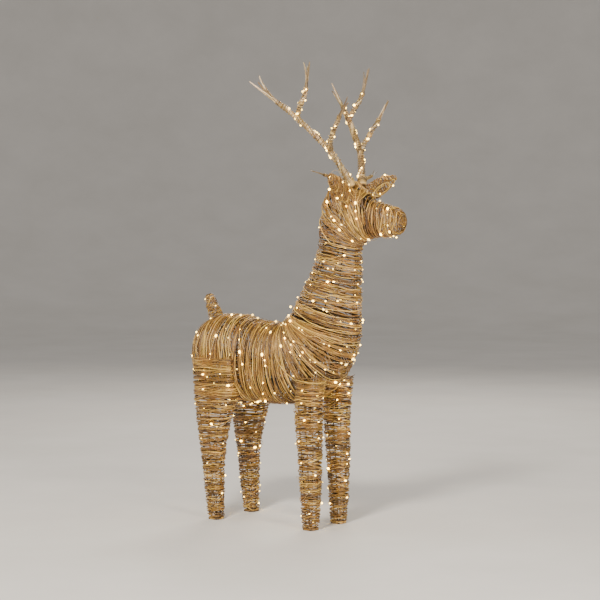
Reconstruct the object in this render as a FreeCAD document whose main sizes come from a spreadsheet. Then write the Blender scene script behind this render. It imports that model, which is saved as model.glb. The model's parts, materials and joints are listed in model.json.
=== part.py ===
import FreeCAD, Part
import math
import os

# Light-up yard reindeer. A welded wire frame is wound with paper twine and hung with micro lamps.
# It stands on z = 0 and faces +X, with its own left side towards +Y. All lengths are in millimetres.
# The outlines are written about the middle of the four feet, and every piece is then placed
# origin_shift along X, which puts the origin under the middle of the whole reindeer.

Vector = FreeCAD.Vector
os.makedirs("parts", exist_ok=True)
doc = FreeCAD.newDocument("yard_reindeer")

# ------------------------------------------------------------------ driving dimensions
DIMENSIONS = {
    "origin_shift": -72.5,
    "wrap_wall": 5.0,
    "seam_gap": 1.0,
    "hoop_radius": 2.0,
    "rail_radius": 1.6,
    "bar_radius": 1.8,
    "post_radius": 4.0,
    "post_clearance": 0.08,
    "post_hole_gap": 1.5,
    "socket_wall": 1.5,
    "socket_cap": 3.0,
    "leg_grip": 62.0,
    "neck_grip": 55.0,
    "antler_grip": 25.0,
    "antler_socket_depth": 14.0,
    "foot_size": 34.0,
    "foot_thickness": 4.0,
    "foot_corner": 8.0,
    "light_wire_radius": 0.6,
    "light_standoff": 4.6,
    "lamp_radius": 2.0,
    "box_length": 76.0,
    "box_width": 62.0,
    "box_depth": 30.0,
    "box_wall": 2.5,
    "box_bottom": 348.0,
    "box_centre": -34.0,
    "boss_length": 8.0,
    "hatch_radius": 18.0,
    "lid_thickness": 3.0,
    "gasket_thickness": 1.5,
    "gasket_margin": 0.5,
    "gasket_rim": 2.5,
    "screw_radius": 1.5,
    "screw_head_radius": 2.8,
    "screw_head_height": 2.0,
    "screw_slot": 0.8,
    "screw_length": 12.0,
    "screw_hole_depth": 10.0,
    "screw_inset": 5.0,
    "screw_clearance": 0.1,
    "thread_clearance": 0.02,
    "board_size": 50.0,
    "board_thickness": 1.6,
    "board_height": 10.0,
    "switch_size": 7.0,
    "switch_height": 3.0,
    "chip_length": 9.0,
    "chip_width": 6.0,
    "chip_height": 1.8,
    "button_radius": 5.0,
    "button_clearance": 0.15,
    "button_proud": 2.0,
    "button_flange": 2.0,
    "button_flange_thickness": 1.5,
    "button_play": 0.1,
    "gland_thread_radius": 4.95,
    "gland_hole_radius": 5.0,
    "gland_nut_radius": 8.0,
    "gland_nut_length": 5.0,
    "gland_dome_length": 7.0,
    "cord_hole_radius": 1.7,
    "clip_length": 10.0,
    "clip_reach": 18.0,
    "clip_height": 22.0,
    "clip_spacing": 48.0,
    "clip_drop": 13.0,
}


def make_sheet(values):
    sheet = doc.addObject("Spreadsheet::Sheet", "dimensions")
    for row, (name, value) in enumerate(values.items(), start=1):
        sheet.set("A%d" % row, name)
        sheet.set("B%d" % row, str(value))
        sheet.setAlias("B%d" % row, name)
    doc.recompute()
    return sheet


sheet = make_sheet(DIMENSIONS)
wrap_wall = sheet.wrap_wall
seam_gap = sheet.seam_gap
hoop_radius = sheet.hoop_radius
rail_radius = sheet.rail_radius
post_radius = sheet.post_radius
socket_bore = post_radius + sheet.post_clearance
socket_radius = socket_bore + sheet.socket_wall
post_hole = post_radius + sheet.post_hole_gap
HOOP_GAP = 0.3
RAIL_SINK = 1.2
hoop_inset = wrap_wall + hoop_radius + HOOP_GAP
rail_inset = hoop_inset + RAIL_SINK
OPEN_END = 4.0
VOLUME_TOLERANCE = 0.02
ARC_SHARE = 0.45
BELLY_CUT = 96.0
STEM_START = 20.0
TWIG_ROOT_RADIUS = 2.5
POST_OVERLAP = 24.0
TIE_START = 20.0
TIE_END = 8.0
TIE_THICKNESS = 2.0
LAMP_SHARES = (0.25, 0.5)
RING_POINTS = 16
BAR_RISE = 1.1
UP = Vector(0, 0, 1)
DOWN = Vector(0, 0, -1)
ROUND = 2.2
SQUARE = 3.2
RIGHT = -1
LEFT = 1
SIDES = {"right": RIGHT, "left": LEFT}

# ------------------------------------------------------------------ outlines
# Body stations are (top or rear point), (bottom or front point) in the side plane, and half width.
TORSO = [
    ((-249, 462), (-247, 410), 34),
    ((-244, 500), (-240, 372), 64),
    ((-222, 530), (-216, 340), 88),
    ((-175, 546), (-175, 322), 98),
    ((-114, 546), (-114, 316), 99),
    ((-58, 533), (-56, 314), 96),
    ((-5, 528), (0, 314), 92),
    ((34, 533), (48, 316), 89),
    ((42, 540), (108, 324), 87),
    ((47, 545), (162, 349), 85),
    ((50, 549), (206, 392), 82),
    ((52, 552), (238, 447), 74),
    ((54, 554), (258, 503), 64),
]
NECK = [
    ((54, 555), (257, 504), 64),
    ((76, 596), (259, 548), 58),
    ((101, 638), (260, 600), 51),
    ((122, 678), (261, 646), 46),
    ((137, 718), (262, 690), 43),
    ((143, 754), (263, 726), 42),
]
HEAD = [
    ((143, 754), (263, 726), 42),
    ((146, 802), (266, 735), 44),
    ((152, 842), (268, 740), 46),
    ((172, 878), (272, 743), 46),
    ((207, 898), (276, 746), 44),
    ((248, 898), (283, 750), 42),
    ((282, 872), (293, 754), 38),
    ((305, 852), (306, 756), 35),
]
MUZZLE = [
    ((305, 852), (306, 756), 35),
    ((335, 842), (333, 757), 34),
    ((366, 835), (362, 758), 33),
    ((387, 824), (383, 767), 28),
    ((394, 808), (392, 781), 14),
]
TAIL = [
    ((-180, 524), (-216, 508), 21),
    ((-194, 548), (-229, 535), 18),
    ((-211, 578), (-241, 566), 15),
    ((-224, 600), (-245, 592), 11),
]
# Leg stations are height, rear x, front x, inner y and outer y.
REAR_LEG = [
    (5, -168, -132, 59, 95),
    (80, -180, -131, 57, 97),
    (157, -189, -129, 55, 99),
    (210, -198, -122, 52, 102),
    (263, -204, -110, 47, 107),
    (316, -213, -91, 46, 108),
    (375, -217, -71, 45, 109),
    (432, -220, -60, 47, 107),
]
FRONT_LEG = [
    (5, 133, 171, 45, 81),
    (80, 128, 177, 42, 84),
    (157, 122, 180, 40, 86),
    (210, 118, 181, 39, 87),
    (280, 110, 182, 38, 88),
    (340, 110, 184, 38, 90),
    (395, 118, 192, 38, 91),
]
# Each socket is welded to a cross bar of the torso frame. A bar is a torso station and its share of
# the way from that station's middle to its bottom. A post is a bar and the side of it, rear or front.
REAR_LEG_BARS = [(3, 0.07), (4, 0.07)]
FRONT_LEG_BARS = [(10, 0.15)]
NECK_BARS = [(11, -0.21), (11, 0.36)]
BEHIND = -1
AHEAD = 1
LEGS = {
    "rear": {"outline": REAR_LEG, "frame_top": 306, "lights_to": 4.8, "post_y": 72, "mouth": 380,
             "posts": [(REAR_LEG_BARS[0], AHEAD), (REAR_LEG_BARS[1], BEHIND)]},
    "front": {"outline": FRONT_LEG, "frame_top": 322, "lights_to": 4.3, "post_y": 60, "mouth": 406,
              "posts": [(FRONT_LEG_BARS[0], BEHIND), (FRONT_LEG_BARS[0], AHEAD)]},
}
TORSO_HOOPS = [2, 3, 4, 5, 6, 7, 8, 10, 11, 12]
NECK_POSTS = [(NECK_BARS[0], BEHIND, 535), (NECK_BARS[1], AHEAD, 517)]
# Antler points for the left side, root first.
ANTLER_ROOT = (253, 22.5, 889)
BEAM = [(ANTLER_ROOT, 7.5), ((218, 68, 976), 6.0), ((148, 116, 1060), 5.0), ((92, 157, 1113), 4.0)]
BEAM_TWIGS = [((51, 186, 1152), 2.2), ((60, 160, 1165), 2.0)]
FRONT_TINE = [
    ((218, 68, 976), 4.5), ((221, 78, 998), 4.5), ((247, 87, 1041), 4.0), ((278, 92, 1090), 3.0)]
REAR_TINE = [
    ((148, 116, 1060), 4.5), ((152, 118, 1078), 4.5), ((180, 125, 1120), 4.0), ((192, 131, 1166), 3.2)]
FRONT_TINE_TWIG = ((286, 93, 1108), 1.9)
REAR_TINE_TWIGS = [((198, 134, 1198), 2.0), ((188, 141, 1195), 1.8)]
BROW_TWIG = [((240, 40, 902), 3.0), ((228, 96, 912), 2.6), ((214, 150, 926), 1.8)]
EAR_ROOT = (246, 32, 858)
EAR_TIP = (270, 151, 911)
# Share of the ear's length, half width and half thickness.
EAR_STATIONS = [(0.0, 16, 10), (0.25, 24, 12), (0.55, 25, 11), (0.85, 15, 8), (1.0, 5, 4)]
EAR_WALL = 4.0


# ------------------------------------------------------------------ geometry helpers
def body_section(station):
    """A section across the body: its middle, and its half axes towards the front and the left."""
    rear, front, half_width = station
    rear_point = Vector(rear[0], 0, rear[1])
    front_point = Vector(front[0], 0, front[1])
    return (rear_point + front_point) * 0.5, (front_point - rear_point) * 0.5, Vector(0, half_width, 0)


def leg_section(station, side):
    height, x_rear, x_front, y_inner, y_outer = station
    middle = Vector((x_rear + x_front) / 2, side * (y_inner + y_outer) / 2, height)
    return middle, Vector((x_front - x_rear) / 2, 0, 0), Vector(0, (y_outer - y_inner) / 2, 0)


def ring_point(section, degrees, inset, power):
    """A point of the section's superellipse, moved in by inset."""
    middle, along, across = section
    angle = math.radians(degrees)
    cosine = math.cos(angle)
    sine = math.sin(angle)
    reach = (abs(cosine) ** power + abs(sine) ** power) ** (-1 / power)
    along_part = along * (cosine * reach * (1 - inset / along.Length))
    across_part = across * (sine * reach * (1 - inset / across.Length))
    return middle + along_part + across_part


def ring_edge(section, inset, power):
    points = [ring_point(section, 360 * k / RING_POINTS, inset, power) for k in range(RING_POINTS)]
    curve = Part.BSplineCurve()
    curve.interpolate(Points=points, PeriodicFlag=True)
    return curve.toShape()


def moved_section(section, shift):
    return section[0] + shift, section[1], section[2]


def skin_solid(sections, inset, power):
    """A solid with straight-ruled walls from each section to the next."""
    rings = [ring_edge(section, inset, power) for section in sections]
    faces = [Part.makeRuledSurface(low, high) for low, high in zip(rings, rings[1:])]
    faces.append(Part.Face(Part.Wire(rings[0])))
    faces.append(Part.Face(Part.Wire(rings[-1])))
    shell = Part.makeShell(faces)
    shell.sewShape()
    solid = Part.makeSolid(Part.Shell(shell.Faces))
    if solid.Volume < 0:
        solid.reverse()
    return solid


def open_ends(sections, open_start, open_end):
    """The sections with one more past each open end, so that a cut leaves that end open."""
    result = list(sections)
    if open_start:
        outwards = (sections[0][0] - sections[1][0]).normalize()
        result.insert(0, moved_section(sections[0], outwards * OPEN_END))
    if open_end:
        outwards = (sections[-1][0] - sections[-2][0]).normalize()
        result.append(moved_section(sections[-1], outwards * OPEN_END))
    return result


def rounded_path(points, closed=False):
    """Straight runs joined by tangent arcs, each as large as its runs allow."""
    count = len(points)
    corners = range(count) if closed else range(1, count - 1)
    trims = {}
    edges = []
    for k in corners:
        before = points[k - 1] - points[k]
        after = points[(k + 1) % count] - points[k]
        trim = ARC_SHARE * min(before.Length, after.Length)
        start = points[k] + before.normalize() * trim
        end = points[k] + after.normalize() * trim
        bisector = before + after
        half_turn = (math.pi - before.getAngle(after)) / 2
        radius = trim / math.tan(half_turn)
        centre = points[k] + bisector.normalize() * math.hypot(trim, radius)
        middle = centre + (points[k] - centre).normalize() * radius
        trims[k] = (start, middle, end)
    order = list(range(count)) if closed else list(range(count - 1))
    for k in order:
        following = (k + 1) % count
        run_start = trims[k][2] if k in trims else points[k]
        run_end = trims[following][0] if following in trims else points[following]
        edges.append(Part.LineSegment(run_start, run_end).toShape())
        if following in trims:
            edges.append(Part.Arc(*trims[following]).toShape())
    return Part.Wire(edges)


def round_rod(points, radius, closed=False):
    """A round wire bent along the points."""
    path = rounded_path(points, closed)
    first = path.Edges[0]
    start = first.valueAt(first.FirstParameter)
    direction = first.tangentAt(first.FirstParameter)
    profile = Part.Wire(Part.makeCircle(radius, start, direction))
    rod = path.makePipeShell([profile], True, False)
    if rod.ShapeType != "Solid":
        rod = Part.Solid(Part.Shell(rod.Faces))
    if rod.Volume < 0:
        rod.reverse()
    expected = math.pi * radius ** 2 * path.Length
    if abs(rod.Volume / expected - 1) > VOLUME_TOLERANCE:
        raise RuntimeError("rod volume %.1f, expected %.1f" % (rod.Volume, expected))
    return rod


def straight_rod(start, end, radius):
    axis = end - start
    return Part.makeCylinder(radius, axis.Length, start, axis)


def tapered_rod(stations):
    """A thick twig: cones between the points, with a ball at each joint."""
    pieces = []
    for (start, start_radius), (end, end_radius) in zip(stations, stations[1:]):
        axis = end - start
        if abs(start_radius - end_radius) < 0.01:
            pieces.append(Part.makeCylinder(start_radius, axis.Length, start, axis))
        else:
            pieces.append(Part.makeCone(start_radius, end_radius, axis.Length, start, axis))
    for point, radius in stations[1:]:
        pieces.append(Part.makeSphere(radius, point))
    return fused(pieces)


def fused(pieces):
    if len(pieces) == 1:
        return pieces[0]
    return pieces[0].multiFuse(pieces[1:]).removeSplitter()


def largest_solid(shape):
    return max(shape.Solids, key=lambda solid: solid.Volume)


def section_at(sections, place):
    """The section a fraction of the way between two stations."""
    number = min(int(place), len(sections) - 2)
    share = place - number
    pairs = zip(sections[number], sections[number + 1])
    return tuple(low * (1 - share) + high * share for low, high in pairs)


def lean_factor(sections, place):
    """How much longer an inset is in the section's own plane than square to the leaning wall."""
    middle, along, across = section_at(sections, place)
    least = 1.0
    for other_place in (place - 1, place + 1):
        if 0 <= other_place <= len(sections) - 1:
            other = section_at(sections, other_place)
            walls = ((along, other[1], 1), (along, other[1], -1), (across, other[2], 1))
            for axis, other_axis, sign in walls:
                wall = (other[0] + other_axis * sign) - (middle + axis * sign)
                least = min(least, abs(math.sin(wall.getAngle(axis))))
    return 1 / max(least, 0.5)


def cage(sections, hoop_places, rail_places, rail_degrees, power):
    """Hoops across the body and rails along it, welded where they cross."""
    pieces = []
    for place in hoop_places:
        inset = hoop_inset * lean_factor(sections, place)
        section = section_at(sections, place)
        points = [ring_point(section, 360 * k / RING_POINTS, inset, power) for k in range(RING_POINTS)]
        pieces.append(round_rod(points, hoop_radius, closed=True))
    for degrees in rail_degrees:
        points = []
        for place in rail_places:
            inset = hoop_inset * lean_factor(sections, place) + RAIL_SINK
            points.append(ring_point(section_at(sections, place), degrees, inset, power))
        pieces.append(round_rod(points, rail_radius))
    return pieces


def skin_point(sections, place, degrees, power):
    """A point held off the winding, place sections along it."""
    number = min(int(place), len(sections) - 2)
    share = place - number
    low = ring_point(sections[number], degrees, -sheet.light_standoff, power)
    high = ring_point(sections[number + 1], degrees, -sheet.light_standoff, power)
    return low * (1 - share) + high * share


def light_string(sections, route, power, lamp_step):
    """A wire through the (place, degrees) pairs of the route, with a resin lamp at every lamp_step."""
    points = [skin_point(sections, place, degrees, power) for place, degrees in route]
    wire = round_rod(points, sheet.light_wire_radius)
    lamps = []
    for k in range(1, len(route) - 1, lamp_step):
        middle = (points[k - 1] + points[k] * 2 + points[k + 1]) * 0.25
        lamps.append(Part.makeSphere(sheet.lamp_radius, middle))
    return wire, Part.Compound(lamps)


def winding_route(first, last, turns, steps, start_degrees=0):
    """A helix from one place to another."""
    total = turns * steps
    return [(first + (last - first) * k / total, start_degrees + 360 * k / steps) for k in range(total + 1)]


def swinging_route(first, last, swings, steps, middle_degrees, swing_degrees):
    """A path that swings from side to side as it goes along."""
    total = swings * steps
    route = []
    for k in range(total + 1):
        place = first + (last - first) * k / total
        route.append((place, middle_degrees + swing_degrees * math.cos(2 * math.pi * k / steps)))
    return route


# ------------------------------------------------------------------ document helpers
nodes = []


def placed(obj, label):
    """Label a finished sub-part and shift it onto the common origin."""
    obj.Label = label
    obj.Placement = FreeCAD.Placement(Vector(sheet.origin_shift, 0, 0), FreeCAD.Rotation())
    obj.setExpression(".Placement.Base.x", "dimensions.origin_shift")
    nodes.append(obj)
    return obj


def shape_feature(label, shape):
    feature = doc.addObject("Part::Feature", label)
    feature.Shape = shape
    return placed(feature, label)


def hidden_feature(name, shape):
    feature = doc.addObject("Part::Feature", name)
    feature.Shape = shape
    return feature


def wrap_feature(label, outer, inner, cutters):
    """A hollow winding: its outer skin less its inside and less what passes through it."""
    outer_feature = hidden_feature(label + "_outside", outer)
    tool_feature = doc.addObject("Part::MultiFuse", label + "_tools")
    tools = [hidden_feature(label + "_inside", inner)]
    for number, cutter in enumerate(cutters):
        tools.append(hidden_feature("%s_cutter_%d" % (label, number), cutter))
    if len(tools) > 1:
        tool_feature.Shapes = tools
    else:
        doc.removeObject(tool_feature.Name)
        tool_feature = tools[0]
    cut = doc.addObject("Part::Cut", label)
    cut.Base = outer_feature
    cut.Tool = tool_feature
    return placed(cut, label)


def plane_of(body, role):
    return [item for item in body.Origin.OriginFeatures if item.Role == role][0]


def new_sketch(body, name, height):
    sketch = body.newObject("Sketcher::SketchObject", name)
    sketch.AttachmentSupport = [(plane_of(body, "XY_Plane"), "")]
    sketch.MapMode = "FlatFace"
    sketch.AttachmentOffset = FreeCAD.Placement(Vector(0, 0, height), FreeCAD.Rotation())
    return sketch


def add_rectangle(sketch, centre, length, width):
    x0, x1 = centre[0] - length / 2, centre[0] + length / 2
    y0, y1 = centre[1] - width / 2, centre[1] + width / 2
    corners = [Vector(x0, y0, 0), Vector(x1, y0, 0), Vector(x1, y1, 0), Vector(x0, y1, 0)]
    for start, end in zip(corners, corners[1:] + corners[:1]):
        sketch.addGeometry(Part.LineSegment(start, end), False)


def add_circle(sketch, centre, radius):
    sketch.addGeometry(Part.Circle(Vector(centre[0], centre[1], 0), Vector(0, 0, 1), radius), False)


def pad(body, sketch, length_expression):
    feature = body.newObject("PartDesign::Pad", sketch.Name + "_pad")
    feature.Profile = sketch
    feature.setExpression("Length", length_expression)
    body.Tip = feature
    return feature


def pocket_up(body, sketch, length_expression):
    """A pocket cut upwards from its sketch."""
    feature = body.newObject("PartDesign::Pocket", sketch.Name + "_pocket")
    feature.Profile = sketch
    feature.Reversed = True
    feature.setExpression("Length", length_expression)
    body.Tip = feature
    return feature


def round_upright_edges(body, base, radius_expression, radius):
    """Fillet the upright edges of a pad."""
    doc.recompute()
    names = []
    for number, edge in enumerate(base.Shape.Edges, start=1):
        ends = [vertex.Point for vertex in edge.Vertexes]
        if len(ends) == 2 and abs(ends[0].z - ends[1].z) > 0.5 and (ends[0] - ends[1]).Length > 0.5:
            if abs(ends[0].x - ends[1].x) < 0.01 and abs(ends[0].y - ends[1].y) < 0.01:
                names.append("Edge%d" % number)
    fillet = body.newObject("PartDesign::Fillet", base.Name + "_fillet")
    fillet.Base = (base, names)
    fillet.Radius = radius
    fillet.setExpression("Radius", radius_expression)
    body.Tip = fillet
    return fillet


# ------------------------------------------------------------------ sections of each winding
torso_sections = [body_section(station) for station in TORSO]
neck_sections = [body_section(station) for station in NECK]
head_sections = [body_section(station) for station in HEAD]
muzzle_sections = [body_section(station) for station in MUZZLE]
tail_sections = [body_section(station) for station in TAIL]
torso_skin = skin_solid(torso_sections, 0, ROUND)
torso_clearance = skin_solid(torso_sections, -seam_gap, ROUND)
head_skin = skin_solid(head_sections, 0, ROUND)
head_clearance = skin_solid(head_sections, -seam_gap, ROUND)


def mirrored(point, side):
    return Vector(point[0], side * point[1], point[2])


def antler_axis(side):
    """The direction in which an antler pulls out of the head."""
    return (mirrored(BEAM[1][0], side) - mirrored(ANTLER_ROOT, side)).normalize()


def bar_middle(bar):
    number, share = bar
    middle, along, across = torso_sections[number]
    return middle + along * share


def beside_bar(bar, direction):
    """The x of a socket that touches the bar on one side."""
    return bar_middle(bar).x + direction * (socket_radius + sheet.bar_radius)


def cross_bar(bar):
    """A bar across the torso frame, from hoop to hoop."""
    number, share = bar
    middle, along, across = torso_sections[number]
    inner_share = abs(share) / (1 - hoop_inset / along.Length)
    reach = (across.Length - hoop_inset) * (1 - inner_share ** ROUND) ** (1 / ROUND) + hoop_radius
    centre = bar_middle(bar)
    return straight_rod(centre - Vector(0, reach, 0), centre + Vector(0, reach, 0), sheet.bar_radius)


def leg_posts(kind, side):
    """The mouths of a leg's two sockets."""
    leg = LEGS[kind]
    mouths = []
    for bar, direction in leg["posts"]:
        mouths.append(Vector(beside_bar(bar, direction), side * leg["post_y"], leg["mouth"]))
    return mouths


def neck_posts():
    """The mouths of the neck's two sockets."""
    return [Vector(beside_bar(bar, direction), 0, height) for bar, direction, height in NECK_POSTS]


# ------------------------------------------------------------------ torso
def socket_tube(mouth, inwards, grip):
    """A blind tube: mouth centre, direction into the tube, and depth."""
    tube = Part.makeCylinder(socket_radius, grip + sheet.socket_cap, mouth, inwards)
    return tube.cut(Part.makeCylinder(socket_bore, grip, mouth, inwards))


def torso_frame():
    pieces = cage(torso_sections, TORSO_HOOPS, TORSO_HOOPS, (30, 90, 150, 210, 270, 330), ROUND)
    for bar in REAR_LEG_BARS + FRONT_LEG_BARS + NECK_BARS:
        pieces.append(cross_bar(bar))
    return fused(pieces)


def make_torso():
    frame = torso_frame()
    shape_feature("torso_frame", frame)
    inner = skin_solid(open_ends(torso_sections[1:], False, True), wrap_wall, ROUND)
    cutters = []
    for kind in LEGS:
        for side in SIDES.values():
            for mouth in leg_posts(kind, side):
                cutters.append(Part.makeCylinder(post_hole, BELLY_CUT, mouth, DOWN))
    hatch = Vector(sheet.box_centre, 0, sheet.box_bottom - BELLY_CUT / 2)
    cutters.append(Part.makeCylinder(sheet.hatch_radius, BELLY_CUT / 2, hatch))
    wrap_feature("torso_wrap", torso_skin, inner, cutters)
    tubes = []
    for kind in LEGS:
        for side in SIDES.values():
            tubes += [socket_tube(mouth, UP, sheet.leg_grip) for mouth in leg_posts(kind, side)]
    shape_feature("leg_sockets", Part.Compound(tubes))
    neck_tubes = [socket_tube(mouth, DOWN, sheet.neck_grip) for mouth in neck_posts()]
    shape_feature("neck_sockets", Part.Compound(neck_tubes))
    route = swinging_route(3.2, 11.8, 7, 28, 180, 76)
    wire, lamps = light_string(torso_sections, route, ROUND, 4)
    shape_feature("torso_light_wire", wire)
    shape_feature("torso_lamps", lamps)
    return frame


def make_tail():
    outer = skin_solid(tail_sections, 0, ROUND)
    core = [section[0] for section in tail_sections[:-1]]
    core[-1] = core[-1] - (core[-1] - core[-2]).normalize() * rail_radius * 2
    shape_feature("tail_frame", round_rod(core, post_radius * 0.65).cut(torso_clearance))
    inner = skin_solid(open_ends(tail_sections[:-1], True, False), wrap_wall, ROUND)
    wrap_feature("tail_wrap", outer, inner, [torso_skin])


# ------------------------------------------------------------------ neck and head
def make_neck():
    hoops = [0.5, 1, 2, 3, 4, 4.8]
    pieces = cage(neck_sections, hoops, hoops, (0, 60, 120, 180, 240, 300), ROUND)
    middle, along, across = neck_sections[1]
    for mouth in neck_posts():
        share = (mouth.x - middle.x) / along.x
        height = middle.z + along.z * share
        reach = across.Length * (1 - abs(share) ** ROUND) ** (1 / ROUND) - hoop_inset
        low = Vector(mouth.x, -reach, height + BAR_RISE)
        pieces.append(straight_rod(low, low + Vector(0, 2 * reach, 0), rail_radius))
        bottom = mouth + DOWN * sheet.neck_grip
        pieces.append(straight_rod(bottom, Vector(mouth.x, 0, height + 2 * post_radius), post_radius))
    shape_feature("neck_frame", fused(pieces))
    outer = skin_solid(neck_sections, 0, ROUND)
    inner = skin_solid(open_ends(neck_sections, True, True), wrap_wall, ROUND)
    wrap_feature("neck_wrap", outer, inner, [])
    route = winding_route(0.35, 4.7, 5, 24, 90)
    return light_string(neck_sections, route, ROUND, 3)


def ear_sections(side):
    """Sections along an ear, whose broad face looks ahead."""
    root = mirrored(EAR_ROOT, side)
    tip = mirrored(EAR_TIP, side)
    axis = tip - root
    direction = Vector(axis).normalize()
    across = (DOWN - direction * DOWN.dot(direction)).normalize()
    normal = direction.cross(across)
    sections = []
    for share, half_width, half_thickness in EAR_STATIONS:
        sections.append((root + axis * share, across * half_width, normal * half_thickness))
    return sections


def antler_bar():
    """A short bar across the top rail, welded to both antler sockets."""
    axis = antler_axis(LEFT)
    square = Vector(0, 1, 0).cross(axis).normalize()
    behind_mouth = 5 * sheet.bar_radius
    on_axis = mirrored(ANTLER_ROOT, LEFT) - axis * (sheet.antler_socket_depth + behind_mouth)
    centre = Vector(on_axis.x, 0, on_axis.z) + square * (socket_radius + sheet.bar_radius)
    reach = Vector(0, on_axis.y + sheet.bar_radius / 2, 0)
    return straight_rod(centre - reach, centre + reach, sheet.bar_radius)


def make_head():
    pieces = cage(head_sections, [1, 2, 4, 6, 6.8], [1, 2, 3, 4, 5, 6, 6.8], (60, 120, 180, 240, 300), ROUND)
    pieces.append(antler_bar())
    shape_feature("head_frame", fused(pieces))
    inner = skin_solid(open_ends(head_sections, True, True), wrap_wall, ROUND)
    holes = []
    sockets = []
    for side in SIDES.values():
        axis = antler_axis(side)
        root = mirrored(ANTLER_ROOT, side)
        hole_top = root + axis * STEM_START
        holes.append(Part.makeCylinder(socket_radius + HOOP_GAP, 3.5 * STEM_START, hole_top, axis * -1))
        sockets.append(socket_tube(root - axis * sheet.antler_socket_depth, axis * -1, sheet.antler_grip))
    wrap_feature("head_wrap", head_skin, inner, holes)
    shape_feature("antler_sockets", Part.Compound(sockets))
    muzzle_outer = skin_solid(muzzle_sections, 0, ROUND)
    muzzle_inner = skin_solid(open_ends(muzzle_sections[:-1], True, False), wrap_wall, ROUND)
    wrap_feature("muzzle_wrap", muzzle_outer, muzzle_inner, [])
    for name, side in SIDES.items():
        outer = skin_solid(ear_sections(side), 0, ROUND)
        hollow = skin_solid(ear_sections(side)[:-1], EAR_WALL, ROUND)
        wrap_feature(name + "_ear_wrap", outer, hollow, [head_skin])


def make_head_lights(neck_wire, neck_lamps):
    route = swinging_route(0.5, 2.7, 2, 24, 180, 80)
    wire, lamps = light_string(head_sections, route, ROUND, 4)
    muzzle_wire, muzzle_lamps = light_string(muzzle_sections, winding_route(0.2, 2.6, 2, 14, 90), ROUND, 3)
    shape_feature("head_light_wire", Part.Compound([neck_wire, wire, muzzle_wire]))
    shape_feature("head_lamps", Part.Compound(neck_lamps.Solids + lamps.Solids + muzzle_lamps.Solids))


# ------------------------------------------------------------------ antlers
def side_stations(stations, side):
    return [(mirrored(point, side), radius) for point, radius in stations]


def light_run(stations, lamps):
    """A wire held along the underside of a twig, with its lamps added to the list."""
    points = []
    for number, (point, radius) in enumerate(stations):
        before = stations[max(number - 1, 0)][0]
        after = stations[min(number + 1, len(stations) - 1)][0]
        direction = (after - before).normalize()
        away = (DOWN - direction * DOWN.dot(direction)).normalize()
        points.append(point + away * (radius + sheet.light_standoff))
    for start, end in zip(points, points[1:]):
        for share in LAMP_SHARES:
            lamps.append(Part.makeSphere(sheet.lamp_radius, start * (1 - share) + end * share))
    return round_rod(points, sheet.light_wire_radius)


def make_antler(name, side):
    axis = antler_axis(side)
    beam_stations = side_stations(BEAM, side)
    root = beam_stations[0][0]
    split = beam_stations[-1]
    pieces = [tapered_rod(beam_stations)]
    for twig in side_stations(BEAM_TWIGS, side):
        pieces.append(tapered_rod([(split[0], TWIG_ROOT_RADIUS), twig]))
    stem = fused(pieces).cut(head_clearance)
    post_end = root - axis * (sheet.antler_socket_depth + sheet.antler_grip)
    post = straight_rod(post_end, root + axis * STEM_START, post_radius)
    beam = fused([largest_solid(stem), post])
    shape_feature(name + "_antler_beam", beam)
    front = side_stations(FRONT_TINE, side)
    front_twig = side_stations([FRONT_TINE_TWIG], side)[0]
    front_tine = fused([tapered_rod(front), tapered_rod([(front[-1][0], TWIG_ROOT_RADIUS), front_twig])])
    front_tine = largest_solid(front_tine.cut(beam))
    shape_feature(name + "_antler_front_tine", front_tine)
    rear = side_stations(REAR_TINE, side)
    rear_pieces = [tapered_rod(rear)]
    for twig in side_stations(REAR_TINE_TWIGS, side):
        rear_pieces.append(tapered_rod([(rear[-1][0], TWIG_ROOT_RADIUS), twig]))
    rear_tine = largest_solid(fused(rear_pieces).cut(beam))
    shape_feature(name + "_antler_rear_tine", rear_tine)
    brow = largest_solid(tapered_rod(side_stations(BROW_TWIG, side)).cut(beam).cut(head_clearance))
    shape_feature(name + "_antler_brow_twig", brow)
    ties = []
    for number in (1, 2):
        point, radius = beam_stations[number]
        below = (point - beam_stations[number - 1][0]).normalize()
        sleeve = straight_rod(point - below * TIE_START, point - below * TIE_END, radius + TIE_THICKNESS)
        for solid in (beam, front_tine, rear_tine):
            sleeve = sleeve.cut(solid)
        ties.append(largest_solid(sleeve))
    shape_feature(name + "_antler_ties", Part.Compound(ties))
    lamps = []
    low_start = (root + axis * 2.4 * STEM_START, BEAM[0][1])
    wires = [light_run([low_start] + beam_stations[1:], lamps)]
    wires.append(light_run(front[1:], lamps))
    wires.append(light_run(rear[1:], lamps))
    shape_feature(name + "_antler_light_wire", Part.Compound(wires))
    shape_feature(name + "_antler_lamps", Part.Compound(lamps))


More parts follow.
